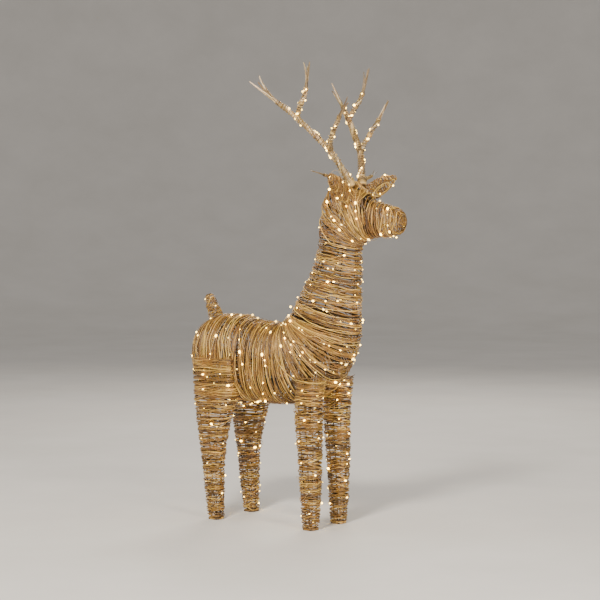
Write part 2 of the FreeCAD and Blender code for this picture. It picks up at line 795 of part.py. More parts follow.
# ------------------------------------------------------------------ legs
def leg_frame(kind, side):
    leg = LEGS[kind]
    sections = [leg_section(station, side) for station in leg["outline"] if station[0] < leg["frame_top"]]
    bottom = sections[0]
    sections[0] = (Vector(bottom[0].x, bottom[0].y, sheet.foot_thickness), bottom[1], bottom[2])
    upper = [station for station in leg["outline"] if station[0] > leg["frame_top"]][0]
    lower = [station for station in leg["outline"] if station[0] < leg["frame_top"]][-1]
    share = (leg["frame_top"] - lower[0]) / (upper[0] - lower[0])
    top_station = [low + (high - low) * share for low, high in zip(lower, upper)]
    sections.append(leg_section(top_station, side))
    pieces = []
    for degrees in (45, 135, 225, 315):
        points = [ring_point(section, degrees, rail_inset, SQUARE) for section in sections]
        pieces.append(round_rod(points, rail_radius))
    for section in sections[1:]:
        points = [ring_point(section, 45 * (k + 0.5), hoop_inset, SQUARE) for k in range(8)]
        pieces.append(round_rod(points, hoop_radius, closed=True))
    for mouth in leg_posts(kind, side):
        foot = Vector(mouth.x, mouth.y, leg["frame_top"] - POST_OVERLAP)
        pieces.append(straight_rod(foot, mouth + UP * sheet.leg_grip, post_radius))
    top = sections[-1]
    reach = top[2].Length - hoop_inset
    for mouth in leg_posts(kind, side):
        low = Vector(mouth.x, top[0].y - reach, leg["frame_top"] + BAR_RISE)
        pieces.append(straight_rod(low, low + Vector(0, 2 * reach, 0), rail_radius))
    return fused(pieces)


def make_foot(label, kind, side):
    """The foot plate: a rounded square pad."""
    station = LEGS[kind]["outline"][0]
    body = doc.addObject("PartDesign::Body", label)
    sketch = new_sketch(body, label + "_outline", 0)
    centre = ((station[1] + station[2]) / 2, side * (station[3] + station[4]) / 2)
    add_rectangle(sketch, centre, sheet.foot_size, sheet.foot_size)
    plate = pad(body, sketch, "dimensions.foot_thickness")
    round_upright_edges(body, plate, "dimensions.foot_corner", sheet.foot_corner)
    placed(body, label)


def make_leg(kind, side_name, side):
    label = "%s_%s_leg" % (side_name, kind)
    sections = [leg_section(station, side) for station in LEGS[kind]["outline"]]
    shape_feature(label + "_frame", leg_frame(kind, side))
    outer = skin_solid(sections, 0, SQUARE)
    inner = skin_solid(open_ends(sections, True, True), wrap_wall, SQUARE)
    wrap_feature(label + "_wrap", outer, inner, [torso_clearance])
    make_foot("%s_%s_foot" % (side_name, kind), kind, side)
    route = winding_route(0.25, LEGS[kind]["lights_to"], 7, 22, 90)
    wire, lamps = light_string(sections, route, SQUARE, 5)
    shape_feature(label + "_light_wire", wire)
    shape_feature(label + "_lamps", lamps)


# ------------------------------------------------------------------ control box
def box_corners():
    half_length = sheet.box_length / 2 - sheet.screw_inset
    half_width = sheet.box_width / 2 - sheet.screw_inset
    return [(sheet.box_centre + x * half_length, y * half_width) for x in (-1, 1) for y in (-1, 1)]


def box_floor():
    """The height at which the box's rim sits on its gasket."""
    return sheet.box_bottom + sheet.lid_thickness + sheet.gasket_thickness


def make_box_base():
    """The box hangs open end down, with a screw boss in each corner."""
    body = doc.addObject("PartDesign::Body", "control_box_base")
    outline = new_sketch(body, "box_outline", box_floor())
    add_rectangle(outline, (sheet.box_centre, 0), sheet.box_length, sheet.box_width)
    block = pad(body, outline, "dimensions.box_depth")
    round_upright_edges(body, block, "dimensions.box_wall", sheet.box_wall)
    cavity = new_sketch(body, "box_cavity", box_floor())
    inside_length = sheet.box_length - 2 * (sheet.box_wall + sheet.boss_length)
    add_rectangle(cavity, (sheet.box_centre, 0), inside_length, sheet.box_width - 2 * sheet.box_wall)
    pocket_up(body, cavity, "dimensions.box_depth - dimensions.box_wall")
    holes = new_sketch(body, "box_screw_holes", box_floor())
    for corner in box_corners():
        add_circle(holes, corner, sheet.screw_radius + sheet.thread_clearance)
    pocket_up(body, holes, "dimensions.screw_hole_depth")
    side_hole = new_sketch(body, "box_gland_hole", box_floor())
    side_hole.AttachmentSupport = [(plane_of(body, "YZ_Plane"), "")]
    side_hole.AttachmentOffset = FreeCAD.Placement(
        Vector(0, 0, sheet.box_centre - sheet.box_length / 2), FreeCAD.Rotation())
    add_circle(side_hole, (0, box_floor() + sheet.box_depth / 2), sheet.gland_hole_radius)
    pocket_up(body, side_hole, "dimensions.box_wall + dimensions.boss_length + 0.5")
    placed(body, "control_box_base")


def make_box_lid():
    body = doc.addObject("PartDesign::Body", "control_box_lid")
    outline = new_sketch(body, "lid_outline", sheet.box_bottom)
    add_rectangle(outline, (sheet.box_centre, 0), sheet.box_length, sheet.box_width)
    plate = pad(body, outline, "dimensions.lid_thickness")
    round_upright_edges(body, plate, "dimensions.box_wall", sheet.box_wall)
    holes = new_sketch(body, "lid_holes", sheet.box_bottom)
    add_circle(holes, (sheet.box_centre, 0), sheet.button_radius + sheet.button_clearance)
    for corner in box_corners():
        add_circle(holes, corner, sheet.screw_radius + sheet.screw_clearance)
    pocket_up(body, holes, "dimensions.lid_thickness")
    placed(body, "control_box_lid")


def make_gasket():
    """A flat ring between the lid and the box's rim, wide enough at its ends for the screw bosses."""
    body = doc.addObject("PartDesign::Body", "lid_gasket")
    outline = new_sketch(body, "gasket_outline", sheet.box_bottom + sheet.lid_thickness)
    margin = 2 * sheet.gasket_margin
    end_width = sheet.box_wall + sheet.boss_length
    add_rectangle(outline, (sheet.box_centre, 0), sheet.box_length - margin, sheet.box_width - margin)
    opening = (sheet.box_length - margin - 2 * end_width, sheet.box_width - margin - 2 * sheet.gasket_rim)
    add_rectangle(outline, (sheet.box_centre, 0), *opening)
    for corner in box_corners():
        add_circle(outline, corner, sheet.screw_radius + sheet.screw_clearance)
    pad(body, outline, "dimensions.gasket_thickness")
    placed(body, "lid_gasket")


def make_screws():
    """Slotted screws whose heads stand under the lid."""
    screws = []
    head_height = sheet.screw_head_height
    head_radius = sheet.screw_head_radius
    slot_width = sheet.screw_slot
    for x, y in box_corners():
        head_bottom = Vector(x, y, sheet.box_bottom - head_height)
        head = Part.makeCylinder(head_radius, head_height, head_bottom)
        slot_corner = head_bottom - Vector(head_radius, slot_width / 2, 0)
        slot = Part.makeBox(2 * head_radius, slot_width, slot_width, slot_corner)
        shank = Part.makeCylinder(sheet.screw_radius, head_height + sheet.screw_length, head_bottom)
        screws.append(head.cut(slot).fuse(shank.cut(slot)).removeSplitter())
    shape_feature("lid_screws", Part.Compound(screws))


def centred_box(length, width, height, x, bottom):
    return Part.makeBox(length, width, height, Vector(x - length / 2, -width / 2, bottom))


def make_board():
    """The circuit board with its push switch over the button and a driver chip above."""
    centre = sheet.box_centre
    size = sheet.board_size
    thickness = sheet.board_thickness
    under = box_floor() + sheet.board_height
    board = centred_box(size, size, thickness, centre, under)
    switch_bottom = under - sheet.switch_height
    switch = centred_box(sheet.switch_size, sheet.switch_size, sheet.switch_height, centre, switch_bottom)
    chip_x = centre + 0.3 * size
    chip = centred_box(sheet.chip_length, sheet.chip_width, sheet.chip_height, chip_x, under + thickness)
    shape_feature("circuit_board", fused([board, switch, chip]))


def make_button():
    """The timer button: a cap through the lid with a flange behind it."""
    through_lid = sheet.button_proud + sheet.lid_thickness + sheet.button_play
    flange_bottom = sheet.box_bottom + sheet.lid_thickness + sheet.button_play
    cap = doc.addObject("Part::Cylinder", "button_cap")
    cap.setExpression("Radius", "dimensions.button_radius")
    cap.Height = through_lid + sheet.button_flange_thickness / 2
    cap.Placement.Base = Vector(sheet.box_centre, 0, sheet.box_bottom - sheet.button_proud)
    flange = doc.addObject("Part::Cylinder", "button_flange")
    flange.setExpression("Radius", "dimensions.button_radius + dimensions.button_flange")
    flange.setExpression("Height", "dimensions.button_flange_thickness")
    flange.Placement.Base = Vector(sheet.box_centre, 0, flange_bottom)
    button = doc.addObject("Part::MultiFuse", "timer_button")
    button.Shapes = [cap, flange]
    placed(button, "timer_button")


def make_gland():
    """The cable gland in the rear wall, with the hole for a low voltage cord."""
    wall = Vector(sheet.box_centre - sheet.box_length / 2, 0, box_floor() + sheet.box_depth / 2)
    back = Vector(-1, 0, 0)
    thread_length = sheet.box_wall + sheet.boss_length + 1.5
    outside = sheet.gland_nut_length + sheet.gland_dome_length
    nut = Part.makeCylinder(sheet.gland_nut_radius, sheet.gland_nut_length, wall, back)
    dome_start = wall + back * sheet.gland_nut_length
    dome = Part.makeCone(sheet.gland_nut_radius - 1, post_radius, sheet.gland_dome_length, dome_start, back)
    thread = Part.makeCylinder(sheet.gland_thread_radius, thread_length, wall, back * -1)
    hole_start = wall + back * (outside + OPEN_END)
    hole_length = outside + thread_length + 2 * OPEN_END
    hole = Part.makeCylinder(sheet.cord_hole_radius, hole_length, hole_start, back * -1)
    shape_feature("cord_gland", fused([nut, dome, thread]).cut(hole))


def make_clips(frame):
    """Clips that hold the box on the frame's two lower rails."""
    clips = []
    for side in SIDES.values():
        for end in (-1, 1):
            x = sheet.box_centre + end * sheet.clip_spacing / 2 - sheet.clip_length / 2
            near_y = side * sheet.box_width / 2
            corner = Vector(x, min(near_y, near_y + side * sheet.clip_reach), box_floor() - sheet.clip_drop)
            clip = Part.makeBox(sheet.clip_length, sheet.clip_reach, sheet.clip_height, corner)
            clips.append(largest_solid(clip.cut(frame)))
    shape_feature("box_clips", Part.Compound(clips))


# ------------------------------------------------------------------ build and export
frame_shape = make_torso()
make_tail()
neck_lights = make_neck()
make_head()
make_head_lights(*neck_lights)
for side_name, side in SIDES.items():
    make_antler(side_name, side)
for kind in LEGS:
    for side_name, side in SIDES.items():
        make_leg(kind, side_name, side)
make_box_base()
make_box_lid()
make_gasket()
make_screws()
make_board()
make_button()
make_gland()
make_clips(frame_shape)

doc.recompute()
for obj in doc.Objects:
    if "Invalid" in obj.State or "Error" in obj.State:
        raise RuntimeError("failed: " + obj.Name)
for node in nodes:
    shape = node.Shape
    if shape.isNull() or not shape.isValid() or not shape.Solids:
        raise RuntimeError("bad shape: " + node.Label)
    shape.exportStep("parts/%s.step" % node.Label)
    print("%-32s solids %3d  volume %10.0f" % (node.Label, len(shape.Solids), shape.Volume))
print("nodes:", len(nodes))
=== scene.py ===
import json
import math

import bpy
import numpy as np
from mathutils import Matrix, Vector
from mathutils.bvhtree import BVHTree


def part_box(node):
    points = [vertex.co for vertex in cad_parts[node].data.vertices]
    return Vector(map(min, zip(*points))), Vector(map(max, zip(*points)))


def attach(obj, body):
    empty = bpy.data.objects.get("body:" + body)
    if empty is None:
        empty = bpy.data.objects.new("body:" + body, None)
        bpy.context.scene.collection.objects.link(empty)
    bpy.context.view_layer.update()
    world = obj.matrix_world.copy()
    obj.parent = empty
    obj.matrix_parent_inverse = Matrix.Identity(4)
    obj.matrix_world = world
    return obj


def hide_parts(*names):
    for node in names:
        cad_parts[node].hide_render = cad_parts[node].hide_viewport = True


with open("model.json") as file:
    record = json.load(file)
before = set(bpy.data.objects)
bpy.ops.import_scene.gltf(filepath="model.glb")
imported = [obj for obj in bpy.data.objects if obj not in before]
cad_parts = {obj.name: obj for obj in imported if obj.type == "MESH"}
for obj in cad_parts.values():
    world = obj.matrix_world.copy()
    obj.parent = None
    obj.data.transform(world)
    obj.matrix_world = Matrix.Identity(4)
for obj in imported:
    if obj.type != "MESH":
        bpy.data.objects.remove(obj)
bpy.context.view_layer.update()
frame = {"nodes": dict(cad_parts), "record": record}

SIDES = {"right": -1, "left": 1}
LEGS = ["right_rear", "left_rear", "right_front", "left_front"]

# Radii of the twine, the lamps and their wire, the thickest wrapped twig and an antler socket.
TWINE = 0.00125
THIN_TWINE = 0.0010
LAMP = 0.0019
WIRE = 0.0005
THICKEST_TWIG = 0.0084
SOCKET_RADIUS = 0.0056

# Windings: how far they are set into the skin, the leg's pitch, turns in a crowd, points from one tint to
# the next and from kink to kink, and how much a kink shifts the pitch and the height.
STRAND_SINK = 0.0015
LEG_PITCH = 0.0036
LEG_OVER_SHARE = 0.45
TURNS_PER_BUNCH = 5
TINT_STEPS = 26
KINK_STEPS = 4
KINK_SHARE = 0.38
KINK_LIFT = 0.0007
DISC_STEPS = 30
DISC_RAY = 0.1

# Reading a skin: how far out rays start, and the neighbours and share of their reach that tell a hole.
RAY_LENGTH = 0.4
HOLE_WINDOW = 10
HOLE_SHARE = 0.85
LENGTH_RAYS = 8

# Antlers: samples on a twig, points on its line and on its spreading tips, how far a tine reaches back to
# the beam, where the bundle sits in it, where it is tied, and its third prong's offsets.
TWIG_SAMPLES = 6000
TWIG_STEPS = 48
TIP_STEPS = 16
ROOT_REACH = 1.0
BUNDLE_SHARE = 0.58
TWIG_REFERENCE = (0.3, 0.2, -0.93)
TIES = (0.07, 0.52, 0.95)
TIE_HALF = 0.04
PRONG_ZONE = 0.030
PRONG_PULL = 0.35
THIRD_PRONG = (0.007, 0.004, 0.012)

# The stage and the camera, with its turn and dip in degrees and its lens in millimetres.
SWEEP_START = 7.0
SWEEP_RADIUS = 5.0
SWEEP_STEPS = 24
SWEEP_SIDES = 96
CAMERA_PLACE = (2.787, -3.807, 0.833)
CAMERA_TURN = 36.214
CAMERA_DIP = -2.948
CAMERA_LENS = 108.0
CAMERA_SENSOR = 36.0


# ---------------------------------------------------------------- node materials
class Nodes:
    """A short way to build one material's node tree."""

    def __init__(self, name):
        self.material = bpy.data.materials.new(name)
        self.material.use_nodes = True
        self.tree = self.material.node_tree
        self.shader = self.tree.nodes["Principled BSDF"]

    def add(self, kind, **values):
        node = self.tree.nodes.new(kind)
        for name, value in values.items():
            if name in node.inputs:
                node.inputs[name].default_value = value
            else:
                setattr(node, name, value)
        return node

    def link(self, output, target):
        self.tree.links.new(output, target)

    def math(self, operation, first, second):
        node = self.add("ShaderNodeMath", operation=operation)
        for slot, value in enumerate((first, second)):
            if isinstance(value, (int, float)):
                node.inputs[slot].default_value = value
            else:
                self.link(value, node.inputs[slot])
        return node.outputs[0]

    def noise(self, vector, scale, detail=4.0, roughness=0.6):
        node = self.add("ShaderNodeTexNoise", Scale=scale, Detail=detail, Roughness=roughness)
        self.link(vector, node.inputs["Vector"])
        return node.outputs["Fac"]

    def ramp(self, factor, stops):
        node = self.add("ShaderNodeValToRGB")
        elements = node.color_ramp.elements
        while len(elements) < len(stops):
            elements.new(0.5)
        for element, (place, colour) in zip(elements, stops):
            element.position = place
            element.color = (*colour, 1.0)
        self.link(factor, node.inputs[0])
        return node.outputs[0]

    def mix(self, factor, first, second, blend="MIX"):
        node = self.add("ShaderNodeMix", data_type="RGBA", blend_type=blend)
        for slot, value in ((0, factor), (6, first), (7, second)):
            if isinstance(value, (int, float)):
                node.inputs[slot].default_value = value
            elif isinstance(value, tuple):
                node.inputs[slot].default_value = (*value, 1.0)
            else:
                self.link(value, node.inputs[slot])
        return node.outputs[2]

    def bump(self, height, strength, distance):
        node = self.add("ShaderNodeBump", Strength=strength, Distance=distance)
        self.link(height, node.inputs["Height"])
        self.link(node.outputs[0], self.shader.inputs["Normal"])

    def object_place(self):
        return self.add("ShaderNodeTexCoord").outputs["Object"]


def strand_tint(nodes):
    """The tint that each strand or drop carries."""
    return nodes.add("ShaderNodeAttribute", attribute_name="tint").outputs["Fac"]


def strand_place(nodes, along, around):
    """Texture place on a strand: its length and its turn, shifted for each strand by its tint."""
    uv = nodes.add("ShaderNodeUVMap", uv_map="strand")
    split = nodes.add("ShaderNodeSeparateXYZ")
    nodes.link(uv.outputs[0], split.inputs[0])
    tint = strand_tint(nodes)
    joined = nodes.add("ShaderNodeCombineXYZ")
    nodes.link(nodes.math("MULTIPLY", split.outputs[0], along), joined.inputs[0])
    nodes.link(nodes.math("MULTIPLY", split.outputs[1], around), joined.inputs[1])
    nodes.link(nodes.math("MULTIPLY", tint, 37.0), joined.inputs[2])
    return joined.outputs[0], split, tint


def twisted_paper(name, dark, middle, light, sheen):
    """Paper twine: a rolled strip, with a spiral edge, fibres along it and a tint for each strand."""
    nodes = Nodes(name)
    place, split, tint = strand_place(nodes, 60.0, 5.0)
    fibres = nodes.noise(place, 1.0, 5.0, 0.65)
    slow, _, _ = strand_place(nodes, 9.0, 0.0)
    patches = nodes.noise(slow, 1.0, 3.0)
    blend = nodes.math("ADD", nodes.math("MULTIPLY", fibres, 0.50), nodes.math("MULTIPLY", patches, 0.22))
    blend = nodes.math("ADD", blend, nodes.math("MULTIPLY", tint, 0.42))
    colour = nodes.ramp(blend, [(0.36, dark), (0.62, middle), (0.84, light)])
    region = nodes.noise(nodes.object_place(), 24.0, 3.0)
    hues = [(0.34, (0.80, 0.80, 0.50)), (0.50, (1.0, 1.0, 1.0)), (0.66, (1.0, 0.86, 0.84))]
    shade = nodes.ramp(region, hues)
    nodes.link(nodes.mix(0.8, colour, shade, "MULTIPLY"), nodes.shader.inputs["Base Color"])
    spiral = nodes.math("ADD", nodes.math("MULTIPLY", split.outputs[0], 190.0), split.outputs[1])
    edge = nodes.math("ABSOLUTE", nodes.math("SINE", nodes.math("MULTIPLY", spiral, math.pi), 0.0), 0.0)
    height = nodes.math("ADD", nodes.math("MULTIPLY", edge, 0.6), nodes.math("MULTIPLY", fibres, 0.8))
    nodes.bump(height, 0.55, 0.0006)
    rough = nodes.ramp(fibres, [(0.3, (0.52, 0.52, 0.52)), (0.7, (0.30, 0.30, 0.30))])
    nodes.link(rough, nodes.shader.inputs["Roughness"])
    nodes.shader.inputs["Sheen Weight"].default_value = sheen
    nodes.shader.inputs["Sheen Roughness"].default_value = 0.35
    nodes.shader.inputs["Specular IOR Level"].default_value = 0.80
    return nodes.material


def painted_steel():
    """Dark lacquered frame wire, worn through to brown in specks."""
    nodes = Nodes("frame_steel")
    place = nodes.object_place()
    specks = nodes.noise(place, 420.0, 6.0, 0.7)
    browns = [(0.40, (0.050, 0.030, 0.014)), (0.62, (0.11, 0.066, 0.028)), (0.74, (0.24, 0.14, 0.06))]
    colour = nodes.ramp(specks, browns)
    nodes.link(colour, nodes.shader.inputs["Base Color"])
    rough = nodes.ramp(specks, [(0.4, (0.35, 0.35, 0.35)), (0.7, (0.7, 0.7, 0.7))])
    nodes.link(rough, nodes.shader.inputs["Roughness"])
    nodes.shader.inputs["Metallic"].default_value = 0.55
    nodes.bump(specks, 0.3, 0.0003)
    return nodes.material


def moulded(name, low, high, roughness, grain=900.0, metallic=0.0):
    """A moulded or pressed surface with a fine grain and a slight change of tone."""
    nodes = Nodes(name)
    place = nodes.object_place()
    tone = nodes.noise(place, 45.0, 3.0)
    nodes.link(nodes.ramp(tone, [(0.35, low), (0.65, high)]), nodes.shader.inputs["Base Color"])
    texture = nodes.noise(place, grain, 2.0)
    span = (max(roughness - 0.12, 0.05), min(roughness + 0.12, 1.0))
    rough = nodes.ramp(texture, [(0.3, (span[0],) * 3), (0.7, (span[1],) * 3)])
    nodes.link(rough, nodes.shader.inputs["Roughness"])
    nodes.shader.inputs["Metallic"].default_value = metallic
    nodes.bump(texture, 0.2, 0.0002)
    return nodes.material


def solder_mask():
    """A green board with copper tracks showing through as a faint grid."""
    nodes = Nodes("board")
    brick = nodes.add("ShaderNodeTexBrick", Scale=160.0)
    brick.inputs["Mortar Size"].default_value = 0.04
    brick.inputs["Color1"].default_value = (0.012, 0.10, 0.035, 1)
    brick.inputs["Color2"].default_value = (0.014, 0.12, 0.04, 1)
    brick.inputs["Mortar"].default_value = (0.03, 0.20, 0.07, 1)
    nodes.link(nodes.object_place(), brick.inputs["Vector"])
    nodes.link(brick.outputs["Color"], nodes.shader.inputs["Base Color"])
    nodes.bump(brick.outputs["Fac"], 0.2, 0.0001)
    nodes.shader.inputs["Roughness"].default_value = 0.3
    return nodes.material


def lacquered_wire():
    """Fine light wire: copper under clear lacquer, with a twist along it."""
    nodes = Nodes("light_wire")
    place, split, _ = strand_place(nodes, 40.0, 2.0)
    grain = nodes.noise(place, 1.0, 3.0)
    colour = nodes.ramp(grain, [(0.35, (0.42, 0.27, 0.12)), (0.65, (0.78, 0.60, 0.34))])
    nodes.link(colour, nodes.shader.inputs["Base Color"])
    twist = nodes.math("ADD", nodes.math("MULTIPLY", split.outputs[0], 400.0), split.outputs[1])
    nodes.bump(nodes.math("SINE", nodes.math("MULTIPLY", twist, 2 * math.pi), 0.0), 0.4, 0.0002)
    nodes.shader.inputs["Metallic"].default_value = 0.7
    nodes.shader.inputs["Roughness"].default_value = 0.32
    return nodes.material


def lit_resin():
    """A warm lamp in clear resin, brightest at its chip."""
    nodes = Nodes("lamp")
    tint = strand_tint(nodes)
    cloud = nodes.noise(nodes.object_place(), 600.0, 2.0)
    glow = nodes.ramp(cloud, [(0.35, (1.0, 0.56, 0.05)), (0.6, (1.0, 0.68, 0.10))])
    power = nodes.ramp(tint, [(0.0, (0.12, 0.12, 0.12)), (0.9, (1.0, 1.0, 1.0))])
    nodes.link(nodes.mix(1.0, glow, power, "MULTIPLY"), nodes.shader.inputs["Emission Color"])
    nodes.link(nodes.ramp(tint, [(0.0, (0.95, 0.86, 0.66)), (1.0, (1.0, 0.96, 0.86))]),
               nodes.shader.inputs["Base Color"])
    nodes.shader.inputs["Emission Strength"].default_value = 24.0
    nodes.shader.inputs["Roughness"].default_value = 0.12
    nodes.shader.inputs["Coat Weight"].default_value = 0.6
    nodes.bump(cloud, 0.15, 0.0002)
    return nodes.material


def ground(name, low, high):
    """A matt pale surface with a slow change of tone."""
    nodes = Nodes(name)
    tone = nodes.noise(nodes.object_place(), 2.5, 3.0)
    nodes.link(nodes.ramp(tone, [(0.3, low), (0.7, high)]), nodes.shader.inputs["Base Color"])
    nodes.shader.inputs["Roughness"].default_value = 0.75
    return nodes.material


materials = {
    "paper_twine": twisted_paper("paper_twine", (0.050, 0.020, 0.003), (0.34, 0.165, 0.018),
                                 (1.0, 0.68, 0.17), 0.05),
    "wrapped_twig": twisted_paper("wrapped_twig", (0.050, 0.028, 0.010), (0.30, 0.195, 0.085),
                                  (1.0, 0.82, 0.56), 0.05),
    "paper_tie": twisted_paper("paper_tie", (0.065, 0.032, 0.008), (0.36, 0.220, 0.060),
                               (0.95, 0.70, 0.28), 0.05),
    "frame_steel": painted_steel(),
    "light_wire": lacquered_wire(),
    "lamp": lit_resin(),
    "box_plastic": moulded("box_plastic", (0.020, 0.030, 0.022), (0.035, 0.050, 0.036), 0.55),
    "gasket_rubber": moulded("gasket_rubber", (0.012, 0.012, 0.012), (0.03, 0.03, 0.03), 0.8, 500.0),
    "screw_steel": moulded("screw_steel", (0.45, 0.45, 0.46), (0.62, 0.62, 0.63), 0.3, 1500.0, 1.0),
    "board": solder_mask(),
    "button_plastic": moulded("button_plastic", (0.50, 0.035, 0.02), (0.62, 0.05, 0.03), 0.25),
}


def paint_frame():
    """Every solid of the frame that stays in sight gets its slot's material."""
    for part in frame["record"]["subparts"]:
        node = frame["nodes"][part["node"]]
        for place in node.material_slots:
            place.material = materials[part["material_slot"]]


# ---------------------------------------------------------------- meshes
def make_object(name, verts, faces, uvs, tints, slot):
    """A smooth mesh object of quads from arrays."""
    mesh = bpy.data.meshes.new(name)
    mesh.vertices.add(len(verts))
    mesh.vertices.foreach_set("co", np.asarray(verts, dtype=np.float32).ravel())
    count = len(faces)
    mesh.loops.add(count * 4)
    mesh.loops.foreach_set("vertex_index", np.asarray(faces, dtype=np.int32).ravel())
    mesh.polygons.add(count)
    mesh.polygons.foreach_set("loop_start", np.arange(count, dtype=np.int32) * 4)
    mesh.polygons.foreach_set("loop_total", np.full(count, 4, dtype=np.int32))
    mesh.update(calc_edges=True)
    mesh.polygons.foreach_set("use_smooth", np.ones(count, dtype=bool))
    layer = mesh.uv_layers.new(name="strand")
    layer.data.foreach_set("uv", np.asarray(uvs, dtype=np.float32).ravel())
    attribute = mesh.attributes.new("tint", "FLOAT", "POINT")
    attribute.data.foreach_set("value", np.asarray(tints, dtype=np.float32))
    mesh.materials.append(materials[slot])
    piece = bpy.data.objects.new(name, mesh)
    bpy.context.scene.collection.objects.link(piece)
    return piece


def unit(vectors):
    length = np.linalg.norm(vectors, axis=-1, keepdims=True)
    return vectors / np.maximum(length, 1e-12)


def path_lengths(points):
    """How far along its line each point is."""
    return np.concatenate([[0], np.cumsum(np.linalg.norm(np.diff(points, axis=0), axis=1))])


def tube_quads(rows, sides):
    """The faces between a tube's rings of corners."""
    first = np.arange(rows - 1)[:, None] * sides
    around = np.arange(sides)[None, :]
    following = (around + 1) % sides
    corners = [first + around, first + following, first + sides + following, first + sides + around]
    return np.stack(corners, axis=-1).reshape(-1, 4)


def along_line(line, place):
    """Points at fractional places on a line."""
    return np.stack([np.interp(place, np.arange(len(line)), line[:, k]) for k in range(3)], axis=1)


def skin_tree(node):
    """A tree for casting rays at one of the frame's solids."""
    mesh = frame["nodes"][node].data
    corners = [vertex.co.copy() for vertex in mesh.vertices]
    return BVHTree.FromPolygons(corners, [tuple(face.vertices) for face in mesh.polygons])


class Strands:
    """Collects tubes that become one mesh."""

    def __init__(self, seed):
        self.random = np.random.default_rng(seed)
        self.verts = []
        self.faces = []
        self.uvs = []
        self.tints = []
        self.total = 0

    def tube(self, points, outwards, radius, sides=6, flat=0.8, thins_from=1.0):
        """A strand along the points. outwards points off the body, flat squashes it that way, and past
        thins_from it thins to under half its width."""
        points = np.asarray(points, dtype=float)
        count = len(points)
        if count < 3:
            return
        tangents = unit(np.gradient(points, axis=0))
        outwards = np.asarray(outwards, dtype=float)
        normals = unit(outwards - tangents * np.sum(outwards * tangents, axis=1, keepdims=True))
        across = np.cross(tangents, normals)
        widths = np.full(count, radius) * (1 + 0.13 * smooth_noise(self.random, count, max(count // 5, 3)))
        thinning = np.maximum(np.linspace(0, 1, count) - thins_from, 0) / max(1 - thins_from, 0.01)
        widths = widths * (1 - 0.6 * thinning)
        widths[0] *= 0.25
        widths[-1] *= 0.25
        angles = 2 * np.pi * np.arange(sides) / sides
        rings = (normals[:, None, :] * (np.sin(angles) * flat)[None, :, None]
                 + across[:, None, :] * np.cos(angles)[None, :, None])
        self.verts.append((points[:, None, :] + rings * widths[:, None, None]).reshape(-1, 3))
        self.faces.append(tube_quads(count, sides) + self.total)
        lengths = path_lengths(points)
        around = np.arange(sides)[None, :]
        low = np.broadcast_to(lengths[:-1, None], (count - 1, sides))
        high = np.broadcast_to(lengths[1:, None], (count - 1, sides))
        near = np.broadcast_to(around / sides, (count - 1, sides))
        far = np.broadcast_to((around + 1) / sides, (count - 1, sides))
        uv = np.stack([low, near, low, far, high, far, high, near], axis=-1).reshape(-1, 2)
        self.uvs.append(uv)
        tint = 0.5 + 0.5 * smooth_noise(self.random, count, max(count // TINT_STEPS, 1))
        self.tints.append(np.repeat(tint, sides))
        self.total += count * sides

    def drop(self, centre, along, outward, length, radius):
        """A resin drop: a small ellipsoid along its wire."""
        rows = 7
        shares = np.linspace(0.02, 0.98, rows)
        spine = np.asarray(centre)[None, :] + np.asarray(along)[None, :] * ((shares - 0.5) * length)[:, None]
        widths = radius * np.sqrt(np.maximum(1 - (2 * shares - 1) ** 2, 0.02))
        side = unit(np.cross(along, outward))
        top = np.cross(side, along)
        sides = 8
        angles = 2 * np.pi * np.arange(sides) / sides
        rings = (top[None, None, :] * np.sin(angles)[None, :, None]
                 + side[None, None, :] * np.cos(angles)[None, :, None])
        self.verts.append((spine[:, None, :] + rings * widths[:, None, None]).reshape(-1, 3))
        self.faces.append(tube_quads(rows, sides) + self.total)
        square = np.array([[0, 0], [0, 1], [1, 1], [1, 0]], dtype=float)
        self.uvs.append(np.tile(square, ((rows - 1) * sides, 1)))
        self.tints.append(np.full(rows * sides, self.random.random()))
        self.total += rows * sides

    def finish(self, name, slot, body, *nodes):
        """Makes the piece, puts it on its body and hides the frame's solids that it stands for."""
        piece = make_object(name, np.concatenate(self.verts), np.concatenate(self.faces),
                            np.concatenate(self.uvs), np.concatenate(self.tints), slot)
        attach(piece, body)
        if nodes:
            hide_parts(*nodes)


def smooth_noise(random, count, knots):
    """Smooth noise from -1 to 1, with that many knots."""
    values = random.uniform(-1, 1, knots + 1)
    place = np.linspace(0, knots, count)
    low = np.minimum(place.astype(int), knots - 1)
    share = place - low
    share = share * share * (3 - 2 * share)
    return values[low] * (1 - share) + values[low + 1] * share


